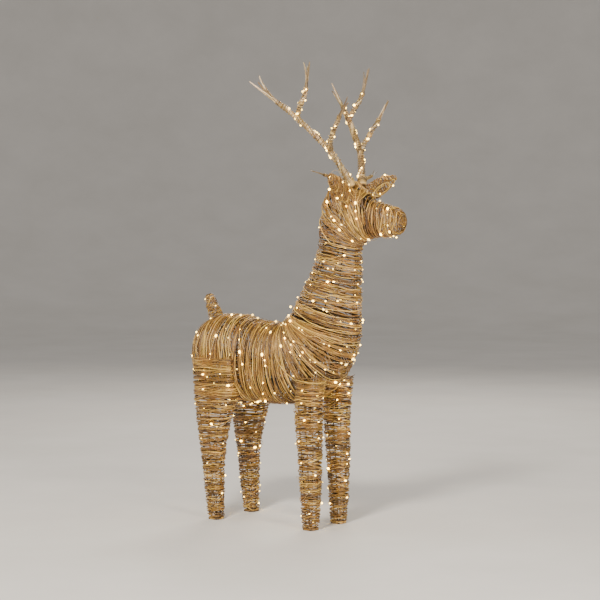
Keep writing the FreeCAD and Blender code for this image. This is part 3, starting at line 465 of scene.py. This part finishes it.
# ---------------------------------------------------------------- surfaces read off the frame
class Surface:
    """A body's outer skin, as distances from a guide line at every angle round it."""

    ROWS = 12
    ANGLES = 96

    def __init__(self, node, guide, cover_holes=True):
        self.tree = skin_tree(node)
        middles, alongs, acrosses = [np.array(column, dtype=float) for column in zip(*guide)]
        stops = np.linspace(0, len(guide) - 1, (len(guide) - 1) * self.ROWS + 1)
        self.middles = along_line(middles, stops)
        self.alongs = unit(along_line(alongs, stops))
        self.acrosses = unit(along_line(acrosses, stops))
        self.reach = self.mend_holes(self.measure(), cover_holes)
        self.places = self.even_places()

    def measure(self):
        """The skin's distance from the guide at each row and angle, or nan where a ray misses."""
        table = np.full((len(self.middles), self.ANGLES), np.nan)
        for row, middle in enumerate(self.middles):
            for column in range(self.ANGLES):
                angle = 2 * math.pi * column / self.ANGLES
                ray = self.alongs[row] * math.cos(angle) + self.acrosses[row] * math.sin(angle)
                start = Vector(middle + ray * RAY_LENGTH)
                hit = self.tree.ray_cast(start, Vector(-ray), RAY_LENGTH)[0]
                if hit is not None:
                    table[row, column] = RAY_LENGTH - (hit - start).length
        return table

    def mend_holes(self, table, cover_holes):
        """Where a ray went through a hole or missed, strands cross at their neighbours' height, or stop."""
        window = [np.roll(table, shift, axis=1) for shift in range(-HOLE_WINDOW, HOLE_WINDOW + 1)]
        usual = np.nanmedian(np.stack(window), axis=0)
        inside = table < HOLE_SHARE * usual
        if not cover_holes:
            return np.where(inside, np.nan, table)
        return np.where(inside | np.isnan(table), usual, table)

    def even_places(self):
        """Shares of the guide's rows that put turns evenly along the skin."""
        filled = np.where(np.isnan(self.reach), np.nanmean(self.reach), self.reach)
        steps = np.zeros(len(self.middles) - 1)
        for column in range(0, self.ANGLES, self.ANGLES // LENGTH_RAYS):
            angle = 2 * math.pi * column / self.ANGLES
            rays = self.alongs * math.cos(angle) + self.acrosses * math.sin(angle)
            points = self.middles + rays * filled[:, column:column + 1]
            steps += np.linalg.norm(np.diff(points, axis=0), axis=1)
        self.length = steps.sum() / LENGTH_RAYS
        return np.concatenate([[0], np.cumsum(steps)]) / steps.sum()

    def sample(self, share, angle, lift):
        """Points at shares of the length and angles round it, lifted off the skin, and their outward rays."""
        row = np.interp(np.clip(share, 0, 1), self.places, np.arange(len(self.places)))
        low = np.minimum(row.astype(int), len(self.middles) - 2)
        part = (row - low)[:, None]
        middle = self.middles[low] * (1 - part) + self.middles[low + 1] * part
        along = self.alongs[low] * (1 - part) + self.alongs[low + 1] * part
        across = self.acrosses[low] * (1 - part) + self.acrosses[low + 1] * part
        column = (angle / (2 * np.pi) * self.ANGLES) % self.ANGLES
        left = column.astype(int) % self.ANGLES
        right = (left + 1) % self.ANGLES
        turn = column - np.floor(column)
        part = part[:, 0]
        reach = ((self.reach[low, left] * (1 - turn) + self.reach[low, right] * turn) * (1 - part)
                 + (self.reach[low + 1, left] * (1 - turn) + self.reach[low + 1, right] * turn) * part)
        ray = unit(along * np.cos(angle)[:, None] + across * np.sin(angle)[:, None])
        return middle + ray * (reach + lift)[:, None], ray


def side_guide(node, shares):
    """A guide in the side plane: shares of the node's box along x and z, and the ring's slope in degrees."""
    low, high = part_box(node)
    guide = []
    for x_share, z_share, slope in shares:
        x = low[0] + (high[0] - low[0]) * x_share
        z = low[2] + (high[2] - low[2]) * z_share
        angle = math.radians(slope)
        middle = (x, (low[1] + high[1]) / 2, z)
        guide.append((middle, (math.cos(angle), 0, math.sin(angle)), (0, 1, 0)))
    return guide


def leg_guide(leg):
    """A guide up a leg, from the middle of its foot to the middle of its top."""
    low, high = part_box(leg + "_leg_wrap")
    foot_low, foot_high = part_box(leg + "_foot")
    foot_x = (foot_low[0] + foot_high[0]) / 2
    foot_y = (foot_low[1] + foot_high[1]) / 2
    top_x = (low[0] + high[0]) / 2
    guide = []
    for share in np.linspace(0, 1, 6):
        middle = (foot_x + (top_x - foot_x) * share, foot_y, low[2] + (high[2] - low[2]) * share)
        guide.append((middle, (1, 0, 0), (0, 1, 0)))
    return guide


def ear_guide(name, side):
    """A guide out along an ear, from its root at the head to its tip."""
    low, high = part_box(name + "_ear_wrap")
    inner, outer = (low[1], high[1]) if side > 0 else (high[1], low[1])
    middle_x = (low[0] + high[0]) / 2
    root = np.array([middle_x - 0.010, inner, low[2] + 0.022])
    tip = np.array([middle_x + 0.011, outer, high[2] - 0.008])
    axis = unit(tip - root)
    down = np.array([0.0, 0.0, -1.0])
    along = unit(down - axis * np.dot(axis, down))
    across = np.cross(axis, along)
    return [(root + (tip - root) * share, along, across) for share in (0.005, 0.35, 0.65, 0.985)]


# ---------------------------------------------------------------- windings
def coil_path(random, turns, first, last, lift, wander, lean, bunch, steps):
    """A winding's path: its turns wander along the body, crowd together in places, lean and overlap."""
    total = int(turns * steps)
    turn = np.arange(total + 1) / steps
    count = int(turns) + 3
    knots = np.arange(count)
    drift = np.interp(turn, knots, random.uniform(-1, 1, count)) * wander
    phase = np.interp(turn, knots, random.uniform(0, 2 * math.pi, count))
    leaning = np.interp(turn, knots, random.uniform(0, 1, count)) * lean
    rise = np.interp(turn, knots, random.uniform(0, 1, count))
    angle = 2 * math.pi * turn
    pitch = (last - first) / turns
    crowd = bunch * smooth_noise(random, total + 1, max(int(turns / TURNS_PER_BUNCH), 2))
    kinks = KINK_SHARE * smooth_noise(random, total + 1, max(total // KINK_STEPS, 4))
    share = first + (last - first) * turn / turns
    share = share + pitch * (drift + crowd + kinks + leaning * np.sin(angle + phase))
    ripple = 0.5 + 0.5 * np.sin(3 * angle + phase * 2)
    height = lift[0] + (lift[1] - lift[0]) * (0.6 * rise + 0.4 * ripple)
    height = height + KINK_LIFT * smooth_noise(random, total + 1, max(total // KINK_STEPS, 4))
    return np.clip(share, 0.0, 1.0), angle, height


def add_coil(strands, surface, turns, first=0.0, last=1.0, lift=(0.0, 0.002), wander=0.3, lean=0.6,
             radius=TWINE, steps=60, offset=0.0, piece_turns=4, bunch=1.2):
    """Winds twine round a surface, in lengths of a few turns, each with its own tint."""
    share, angle, height = coil_path(strands.random, turns, first, last, lift, wander, lean, bunch, steps)
    points, rays = surface.sample(share, angle + offset, height - STRAND_SINK)
    good = ~np.isnan(points[:, 0])
    cut = int(piece_turns * steps)
    start = 0
    while start < len(points) - 2:
        stop = min(start + cut + int(strands.random.integers(0, steps)), len(points))
        for run in valid_runs(good, start, stop):
            strands.tube(points[run], rays[run], radius * strands.random.uniform(0.85, 1.15))
        start = stop - 1


def valid_runs(good, start, stop):
    """Slices of the points from start to stop where the surface is there."""
    runs = []
    begin = None
    for k in range(start, stop):
        if good[k] and begin is None:
            begin = k
        if begin is not None and (not good[k] or k == stop - 1):
            end = k + 1 if good[k] else k
            if end - begin > 3:
                runs.append(slice(begin, end))
            begin = None
    return runs


def add_disc(strands, node, centre, side, up, turns, lift=0.0, inner=0.06):
    """A spiral of twine laid on a body, from its half axes side and up in to the share inner of them."""
    tree = skin_tree(node)
    side = np.asarray(side, dtype=float)
    up = np.asarray(up, dtype=float)
    normal = unit(np.cross(up, side))
    total = int(turns * DISC_STEPS)
    points = []
    for k in range(total + 1):
        share = 1 - k / total
        angle = 2 * math.pi * k / DISC_STEPS
        reach = inner + (1 - inner) * share
        spoke = (side * math.cos(angle) + up * math.sin(angle)) * reach
        start = np.asarray(centre) + spoke + normal * DISC_RAY
        hit = tree.ray_cast(Vector(start), Vector(-normal), 2 * DISC_RAY)[0]
        if hit is not None:
            points.append(np.array(hit) + normal * lift)
    strands.tube(points, np.tile(normal, (len(points), 1)), TWINE)


# ---------------------------------------------------------------- strings of lamps
def string_path(surface, random, turns, first, last, lift, steps=40, sway=0.25):
    """A loose light wire: it winds along the body and stands off it in places."""
    total = int(turns * steps)
    turn = np.arange(total + 1) / steps
    share = first + (last - first) * turn / turns
    pitch = (last - first) / turns
    share = share + pitch * sway * smooth_noise(random, total + 1, max(total // 9, 3))
    height = lift + 0.0022 * np.abs(smooth_noise(random, total + 1, max(total // 6, 3)))
    proud = smooth_noise(random, total + 1, max(total // 11, 3))
    height = height + 0.009 * np.maximum(proud - 0.55, 0) / 0.45
    return np.clip(share, 0, 1), 2 * math.pi * turn + 0.5, height


def add_string(wires, lamps, points, rays, spacing):
    """A wire through the points, with resin lamps about a spacing apart."""
    wires.tube(points, rays, WIRE, sides=5, flat=1.0)
    lengths = path_lengths(points)
    place = spacing * lamps.random.uniform(0.3, 0.7)
    while place < lengths[-1]:
        k = min(int(np.searchsorted(lengths, place)), len(points) - 2)
        along = unit(points[min(k + 1, len(points) - 1)] - points[max(k - 1, 0)])
        size = lamps.random.choice((0.65, 0.8, 1.0, 1.45)) * lamps.random.uniform(0.9, 1.1)
        lamps.drop(points[k], along, rays[k], LAMP * 3.0 * size, LAMP * size)
        place += spacing * lamps.random.choice((0.35, 0.7, 1.0, 1.25, 1.6))


def wind_lights(wires, lamps, surface, turns, first, last, lift=0.0018, spacing=0.055, sway=0.25):
    """Winds a string of lamps round a surface, wherever the surface is there."""
    share, angle, height = string_path(surface, wires.random, turns, first, last, lift, sway=sway)
    points, rays = surface.sample(share, angle, height)
    good = ~np.isnan(points[:, 0])
    for run in valid_runs(good, 0, len(points)):
        if run.stop - run.start > 6:
            add_string(wires, lamps, points[run], rays[run], spacing)


# ---------------------------------------------------------------- parts of the reindeer
# Guides in the side plane: each row's share of its box along x and along z, and its ring's slope in degrees.
TORSO_SHARES = [(0.006, 0.51, -88), (0.035, 0.51, -88), (0.10, 0.50, -89), (0.49, 0.45, -89),
                (0.57, 0.46, -86), (0.64, 0.49, -73), (0.70, 0.55, -60), (0.745, 0.65, -45),
                (0.78, 0.77, -29), (0.80, 0.885, -15)]
NECK_SHARES = [(0.486, 0.106, -14), (0.605, 0.46, -13), (0.658, 0.632, -13), (0.713, 0.94, -13)]
HEAD_SHARES = [(0.368, 0.085, -13), (0.387, 0.247, -29), (0.41, 0.378, -41), (0.485, 0.491, -53),
               (0.604, 0.558, -65), (0.752, 0.570, -76), (0.887, 0.506, -85), (0.99, 0.455, -89)]
MUZZLE_SHARES = [(0.01, 0.5, -89), (0.45, 0.48, -88), (0.985, 0.42, -86)]
TAIL_SHARES = [(0.76, 0.05, 24), (0.40, 0.58, 22), (0.17, 0.94, 22)]


def make_torso():
    surface = Surface("torso_wrap", side_guide("torso_wrap", TORSO_SHARES), cover_holes=False)
    low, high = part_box("torso_wrap")
    base = Strands(11)
    add_coil(base, surface, 138, wander=0.5, lean=1.2, lift=(-0.002, 0.0006), bunch=0.75)
    rump = (low[0], 0.0, low[2] + (high[2] - low[2]) * 0.51)
    add_disc(base, "torso_wrap", rump, (0, 0.042, 0), (0, 0, 0.050), 12)
    base.finish("torso_winding", "paper_twine", "torso", "torso_wrap")
    over = Strands(12)
    add_coil(over, surface, 44, wander=0.9, lean=3.0, lift=(0.0004, 0.0034), offset=1.3, bunch=1.2,
             radius=1.1 * TWINE)
    add_coil(over, surface, 48, first=0.58, last=1.0, wander=0.7, lean=1.4, lift=(-0.0012, 0.0020),
             offset=2.6, bunch=0.6)
    over.finish("torso_over_winding", "paper_twine", "torso")
    wires = Strands(13)
    lamps = Strands(14)
    wind_lights(wires, lamps, surface, 10, 0.04, 0.98, sway=0.5, spacing=0.058)
    wind_lights(wires, lamps, surface, 2.5, 0.80, 0.98, sway=0.8, spacing=0.045)
    wires.finish("torso_wire", "light_wire", "torso", "torso_light_wire")
    lamps.finish("torso_lights", "lamp", "torso", "torso_lamps")


def make_tail():
    surface = Surface("tail_wrap", side_guide("tail_wrap", TAIL_SHARES))
    strands = Strands(21)
    add_coil(strands, surface, 19, lift=(-0.001, 0.0012), steps=32, lean=0.8, bunch=0.5)
    add_coil(strands, surface, 6, lift=(0.001, 0.0025), steps=32, lean=2.0, wander=0.8)
    low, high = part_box("tail_wrap")
    top = (low[0] + (high[0] - low[0]) * 0.16, 0, high[2] - 0.003)
    add_disc(strands, "tail_wrap", top, (0, 0.009, 0), (0.0084, 0, 0.0033), 3)
    strands.finish("tail_winding", "paper_twine", "torso", "tail_wrap")
    wires = Strands(22)
    lamps = Strands(23)
    wind_lights(wires, lamps, surface, 2, 0.1, 0.95, spacing=0.05)
    wires.finish("tail_wire", "light_wire", "torso")
    lamps.finish("tail_lights", "lamp", "torso")


def make_neck():
    surface = Surface("neck_wrap", side_guide("neck_wrap", NECK_SHARES))
    base = Strands(31)
    add_coil(base, surface, 48, wander=0.6, lean=1.1, lift=(-0.002, 0.0008), bunch=2.2)
    base.finish("neck_winding", "paper_twine", "neck_and_head", "neck_wrap")
    over = Strands(32)
    add_coil(over, surface, 22, wander=0.9, lean=1.5, lift=(0.0004, 0.0034), offset=2.0, bunch=1.4)
    over.finish("neck_over_winding", "paper_twine", "neck_and_head")
    return surface


def make_head(neck):
    surface = Surface("head_wrap", side_guide("head_wrap", HEAD_SHARES))
    base = Strands(41)
    add_coil(base, surface, 45, wander=0.5, lean=1.4, lift=(-0.002, 0.0008), bunch=0.8)
    base.finish("head_winding", "paper_twine", "neck_and_head", "head_wrap")
    over = Strands(42)
    add_coil(over, surface, 18, wander=1.4, lean=6.0, lift=(0.0002, 0.0036), offset=0.7)
    add_coil(over, surface, 24, first=0.40, last=0.82, wander=1.0, lean=1.5, lift=(-0.001, 0.0024),
             offset=1.9)
    low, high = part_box("antler_sockets")
    for side in SIDES.values():
        socket = ((low[0] + high[0]) / 2, side * (high[1] - SOCKET_RADIUS), high[2])
        add_disc(over, "head_wrap", socket, (0, 0.027, 0), (0.027, 0, 0), 6, 0.0016, inner=0.34)
    over.finish("head_over_winding", "paper_twine", "neck_and_head")
    muzzle = Surface("muzzle_wrap", side_guide("muzzle_wrap", MUZZLE_SHARES))
    strands = Strands(43)
    add_coil(strands, muzzle, 27, wander=0.3, lean=0.6, lift=(-0.001, 0.0012), steps=48, bunch=0.4)
    add_coil(strands, muzzle, 6, wander=0.8, lean=1.6, lift=(0.0008, 0.003), steps=48)
    low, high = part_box("muzzle_wrap")
    nose = (high[0], 0.0, low[2] + (high[2] - low[2]) * 0.42)
    add_disc(strands, "muzzle_wrap", nose, (0, -0.020, 0), (0.0015, 0, 0.020), 4.5, 0.0012)
    strands.finish("muzzle_winding", "paper_twine", "neck_and_head", "muzzle_wrap")
    wires = Strands(44)
    lamps = Strands(45)
    wind_lights(wires, lamps, neck, 5.5, 0.03, 0.97, sway=0.5, spacing=0.052)
    wind_lights(wires, lamps, surface, 4, 0.05, 0.95, sway=0.5, spacing=0.058)
    wind_lights(wires, lamps, muzzle, 2.5, 0.1, 0.85, spacing=0.045)
    wires.finish("head_wire", "light_wire", "neck_and_head", "head_light_wire")
    lamps.finish("head_lights", "lamp", "neck_and_head", "head_lamps")


def make_ears():
    for name, side in SIDES.items():
        surface = Surface(name + "_ear_wrap", ear_guide(name, side))
        strands = Strands(51 + side)
        add_coil(strands, surface, 25, wander=0.3, lean=0.7, lift=(-0.001, 0.0012), steps=36, bunch=0.5)
        add_coil(strands, surface, 6, wander=1.0, lean=2.0, lift=(0.0008, 0.0026), steps=36)
        low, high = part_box(name + "_ear_wrap")
        middle = [(low[axis] + high[axis]) / 2 for axis in range(3)]
        long_axis = (0, -side * 0.044, -0.019)
        short_axis = (0, -0.0065 * side, 0.0150)
        add_disc(strands, name + "_ear_wrap", middle, long_axis, short_axis, 4, 0.0014)
        strands.finish(name + "_ear_winding", "paper_twine", "neck_and_head", name + "_ear_wrap")
        wires = Strands(54 + side)
        lamps = Strands(57 + side)
        wind_lights(wires, lamps, surface, 2, 0.15, 0.9, lift=0.002, spacing=0.05)
        wires.finish(name + "_ear_wire", "light_wire", "neck_and_head")
        lamps.finish(name + "_ear_lights", "lamp", "neck_and_head")


def add_hem(strands, surface, foot):
    """Two rings of twine round the foot plate, below the first turn of the leg."""
    angle = np.linspace(0, 2 * math.pi, 60)
    for share_up in (0.45, 0.95):
        points, rays = surface.sample(np.zeros(60), angle, -0.0012)
        points[:, 2] = foot[0][2] + (foot[1][2] - foot[0][2]) * share_up
        strands.tube(points, rays, TWINE)


def make_leg(leg, seed):
    surface = Surface(leg + "_leg_wrap", leg_guide(leg))
    turns = surface.length / LEG_PITCH
    base = Strands(seed)
    add_coil(base, surface, turns, wander=0.45, lean=0.6, lift=(-0.0002, 0.0014), steps=52, bunch=1.3)
    add_hem(base, surface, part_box(leg + "_foot"))
    base.finish(leg + "_leg_winding", "paper_twine", leg + "_leg", leg + "_leg_wrap")
    over = Strands(seed + 1)
    add_coil(over, surface, turns * LEG_OVER_SHARE, wander=0.9, lean=1.5, lift=(0.0014, 0.0034), steps=52,
             offset=1.0, bunch=1.2)
    over.finish(leg + "_leg_over_winding", "paper_twine", leg + "_leg")
    wires = Strands(seed + 2)
    lamps = Strands(seed + 3)
    wind_lights(wires, lamps, surface, 8, 0.03, 0.97, sway=0.35, spacing=0.06)
    wires.finish(leg + "_leg_wire", "light_wire", leg + "_leg", leg + "_leg_light_wire")
    lamps.finish(leg + "_leg_lights", "lamp", leg + "_leg", leg + "_leg_lamps")


# ---------------------------------------------------------------- antlers
def centre_line(node, start, bins, random):
    """The middle line and radius of a twig, from its end nearest start."""
    mesh = frame["nodes"][node].data
    mesh.calc_loop_triangles()
    corners = np.array([vertex.co[:] for vertex in mesh.vertices])
    triangles = np.array([triangle.vertices[:] for triangle in mesh.loop_triangles])
    a, b, c = (corners[triangles[:, k]] for k in range(3))
    areas = np.linalg.norm(np.cross(b - a, c - a), axis=1)
    chosen = random.choice(len(triangles), TWIG_SAMPLES, p=areas / areas.sum())
    u = random.random(TWIG_SAMPLES)
    v = random.random(TWIG_SAMPLES)
    flip = u + v > 1
    u[flip] = 1 - u[flip]
    v[flip] = 1 - v[flip]
    samples = a[chosen] + (b - a)[chosen] * u[:, None] + (c - a)[chosen] * v[:, None]
    middle = samples.mean(axis=0)
    axis = np.linalg.svd(samples - middle, full_matrices=False)[2][0]
    if np.dot(start - middle, axis) > 0:
        axis = -axis
    reach = (samples - middle) @ axis
    edges = np.linspace(reach.min(), reach.max(), bins + 1)
    line = []
    radii = []
    for low, high in zip(edges, edges[1:]):
        inside = samples[(reach >= low) & (reach <= high)]
        centre = inside.mean(axis=0)
        sideways = inside - centre
        sideways = sideways - np.outer(sideways @ axis, axis)
        line.append(centre)
        radii.append(np.linalg.norm(sideways, axis=1).mean())
    return np.array(line), np.array(radii), prong_tips(samples, reach, axis)


def prong_tips(samples, reach, axis):
    """The ends of a forked twig: the outermost places near its far end, and one between them."""
    far = samples[reach > reach.max() - PRONG_ZONE]
    middle = far.mean(axis=0)
    sideways = far - middle
    sideways = sideways - np.outer(sideways @ axis, axis)
    spread = np.linalg.svd(sideways, full_matrices=False)[2][0]
    place = sideways @ spread + (far - middle) @ axis * PRONG_PULL
    other = -sideways @ spread + (far - middle) @ axis * PRONG_PULL
    first = far[np.argmax(place)]
    second = far[np.argmax(other)]
    across = np.cross(axis, spread)
    aside, over, back = THIRD_PRONG
    third = (first + second) / 2 + across * aside + spread * over - axis * back
    return [first, second, third]


def smooth_line(points, count):
    """A line through the points, evened out and rounded."""
    lengths = path_lengths(points)
    even = np.linspace(0, lengths[-1], count)
    line = np.stack([np.interp(even, lengths, points[:, k]) for k in range(3)], axis=1)
    for _ in range(3):
        line[1:-1] = (line[:-2] + 2 * line[1:-1] + line[2:]) / 4
    return line


def twig_axes(line):
    """A line's heading and two directions square to it, at each of its points."""
    tangents = unit(np.gradient(line, axis=0))
    reference = np.tile(np.array(TWIG_REFERENCE), (len(line), 1))
    normals = unit(reference - tangents * np.sum(reference * tangents, axis=1, keepdims=True))
    return tangents, normals, np.cross(tangents, normals)


def add_bundle(strands, line, radii, ends, count, twist):
    """A bundle of thin wrapped twigs twisted together, whose ends spread to their own tips."""
    tangents, normals, across = twig_axes(line)
    travel = np.linspace(0, 1, len(line))
    for number in range(count):
        angle = 2 * math.pi * (number / count + twist * travel) + strands.random.uniform(-0.2, 0.2)
        rays = normals * np.cos(angle)[:, None] + across * np.sin(angle)[:, None]
        offset = rays * (radii * BUNDLE_SHARE)[:, None]
        points = line + offset
        end = ends[number % len(ends)]
        bend = np.linspace(0, 1, TIP_STEPS + 1)[1:, None]
        start = points[-1]
        heading = tangents[-1] * np.linalg.norm(end - start)
        tail = start + heading * bend * (1 - bend) * 0.6 + (end - start) * bend ** 1.2
        tail = tail + strands.random.normal(0, 0.0006, 3) * bend
        whole = np.concatenate([points, tail])
        outward = np.concatenate([offset, np.tile(offset[-1], (TIP_STEPS, 1))]) + 1e-6
        width = float(radii.mean()) * 0.40
        strands.tube(whole, outward, width, sides=7, flat=1.0, thins_from=0.55)


def add_binding(strands, line, radii, first, last, turns, radius=THIN_TWINE):
    """Twine bound tightly round a stretch of a bundle."""
    steps = int(turns * 16)
    share = np.linspace(first, last, steps)
    place = share * (len(line) - 1)
    middle = along_line(line, place)
    width = np.interp(place, np.arange(len(line)), radii) * 1.02 + 0.0004
    _, normals, across = twig_axes(middle)
    angle = 2 * math.pi * turns * np.linspace(0, 1, steps)
    wobble = 1 + 0.10 * smooth_noise(strands.random, steps, max(int(turns) * 2, 3))
    rays = normals * np.cos(angle)[:, None] + across * np.sin(angle)[:, None]
    strands.tube(middle + rays * (width * wobble)[:, None], rays, radius, sides=5)


def antler_lights(wires, lamps, line, radii, spacing):
    """A string of lamps wound loosely along a twig."""
    steps = 40
    place = np.linspace(0.05, 0.98, steps) * (len(line) - 1)
    middle = along_line(line, place)
    width = np.interp(place, np.arange(len(line)), radii)
    _, normals, across = twig_axes(middle)
    angle = 2 * math.pi * np.linspace(0, 2.5, steps) + wires.random.uniform(0, 6)
    rays = normals * np.cos(angle)[:, None] + across * np.sin(angle)[:, None]
    add_string(wires, lamps, middle + rays * (width + 0.0022)[:, None], rays, spacing)


# Each twig's slices, the shares of them where its bundle starts and forks, its strands, their twist and
# how much thicker than its core the wrapped bundle is.
TWIGS = {
    "beam": (18, 0.07, 0.83, 9, 3.0, 1.20),
    "front_tine": (10, 0.0, 0.68, 6, 1.2, 1.30),
    "rear_tine": (10, 0.0, 0.58, 6, 1.2, 1.30),
    "brow_twig": (9, 0.0, 0.66, 3, 0.8, 1.20),
}


def make_antler(name, side):
    body = name + "_antler"
    seed = 80 + side * 8
    random = np.random.default_rng(seed)
    twigs = Strands(seed + 1)
    bindings = Strands(seed + 2)
    wires = Strands(seed + 3)
    lamps = Strands(seed + 4)
    for part, (bins, first, last, count, twist, swell) in TWIGS.items():
        node = "%s_antler_%s" % (name, part)
        low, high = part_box(node)
        start = np.array([high[0], 0.0, low[2]])
        points, radii, tips = centre_line(node, start, bins, random)
        begin = int(round(first * (bins - 1)))
        end = int(round(last * (bins - 1))) + 1
        line = points[begin:end]
        if part != "beam":
            line = np.concatenate([[line[0] - ROOT_REACH * (line[1] - line[0])], line])
        line = smooth_line(line, TWIG_STEPS)
        widths = np.interp(np.linspace(begin, end - 1, TWIG_STEPS), np.arange(bins), radii)
        widths = np.minimum(widths, THICKEST_TWIG) * swell
        add_bundle(twigs, line, widths, tips, count, twist)
        for middle in TIES:
            add_binding(bindings, line, widths, max(middle - TIE_HALF, 0), min(middle + TIE_HALF, 1), 5)
        if part == "beam":
            add_binding(bindings, line, widths * 1.25, 0.0, 0.07, 9, TWINE)
            add_binding(bindings, line, widths * 1.05, 0.05, 0.97, 34)
        else:
            add_binding(bindings, line, widths * 1.03, 0.05, 0.98, 12)
        if part != "brow_twig":
            antler_lights(wires, lamps, line, widths, 0.021 if part == "beam" else 0.028)
    cores = ["%s_antler_%s" % (name, part) for part in TWIGS]
    twigs.finish(name + "_antler_twigs", "wrapped_twig", body, *cores)
    bindings.finish(name + "_antler_bindings", "paper_tie", body, name + "_antler_ties")
    wires.finish(name + "_antler_wire", "light_wire", body, name + "_antler_light_wire")
    lamps.finish(name + "_antler_lights", "lamp", body, name + "_antler_lamps")


# ---------------------------------------------------------------- floor, light and camera
def make_stage():
    """A round pale floor that curves up into a backdrop on every side, well away from the reindeer."""
    profile = [(0.0, 0.0)]
    profile += [(SWEEP_START + SWEEP_RADIUS * math.sin(bend), SWEEP_RADIUS * (1 - math.cos(bend)))
                for bend in np.linspace(0, math.pi / 2, SWEEP_STEPS)]
    verts = []
    for distance, height in profile:
        for number in range(SWEEP_SIDES):
            angle = 2 * math.pi * number / SWEEP_SIDES
            verts.append((distance * math.cos(angle), distance * math.sin(angle), height))
    faces = []
    for ring in range(len(profile) - 1):
        for number in range(SWEEP_SIDES):
            following = (number + 1) % SWEEP_SIDES
            low = ring * SWEEP_SIDES
            high = low + SWEEP_SIDES
            faces.append((low + number, low + following, high + following, high + number))
    mesh = bpy.data.meshes.new("floor")
    mesh.from_pydata(verts, [], faces)
    mesh.polygons.foreach_set("use_smooth", [True] * len(faces))
    floor = bpy.data.objects.new("floor", mesh)
    bpy.context.scene.collection.objects.link(floor)
    mesh.materials.append(ground("pale_floor", (0.70, 0.675, 0.65), (0.76, 0.735, 0.71)))


def area_light(name, place, target, size, power, colour):
    data = bpy.data.lights.new(name, "AREA")
    data.size = size
    data.energy = power
    data.color = colour
    light = bpy.data.objects.new(name, data)
    light.location = place
    light.rotation_euler = (Vector(target) - Vector(place)).to_track_quat("-Z", "Y").to_euler()
    bpy.context.scene.collection.objects.link(light)


def make_lights():
    middle = (0.0, 0.0, 0.6)
    area_light("key", (0.8, -3.0, 3.0), middle, 0.7, 185, (1.0, 0.93, 0.80))
    area_light("fill", (-3.0, -1.4, 1.2), middle, 1.0, 20, (1.0, 0.95, 0.88))
    area_light("front", (3.2, -1.2, 0.9), middle, 0.8, 80, (1.0, 0.93, 0.82))
    area_light("rim", (-1.4, 2.8, 2.6), middle, 1.6, 60, (1.0, 0.93, 0.82))
    world = bpy.data.worlds.new("studio")
    world.use_nodes = True
    world.node_tree.nodes["Background"].inputs[0].default_value = (0.86, 0.84, 0.81, 1)
    world.node_tree.nodes["Background"].inputs[1].default_value = 0.45
    bpy.context.scene.world = world


def make_camera():
    """The camera stands to the front right, a little above the back, and looks very slightly down."""
    data = bpy.data.cameras.new("camera")
    data.lens = CAMERA_LENS
    data.sensor_width = CAMERA_SENSOR
    camera = bpy.data.objects.new("camera", data)
    camera.location = CAMERA_PLACE
    turn = math.radians(CAMERA_TURN)
    dip = math.radians(CAMERA_DIP)
    heading = Vector((-math.sin(turn) * math.cos(dip), math.cos(turn) * math.cos(dip), math.sin(dip)))
    camera.rotation_euler = heading.to_track_quat("-Z", "Y").to_euler()
    bpy.context.scene.collection.objects.link(camera)
    bpy.context.scene.camera = camera


make_camera()
make_stage()
make_lights()
paint_frame()
make_torso()
make_tail()
make_head(make_neck())
make_ears()
for number, leg in enumerate(LEGS):
    make_leg(leg, 100 + 10 * number)
for name, side in SIDES.items():
    make_antler(name, side)
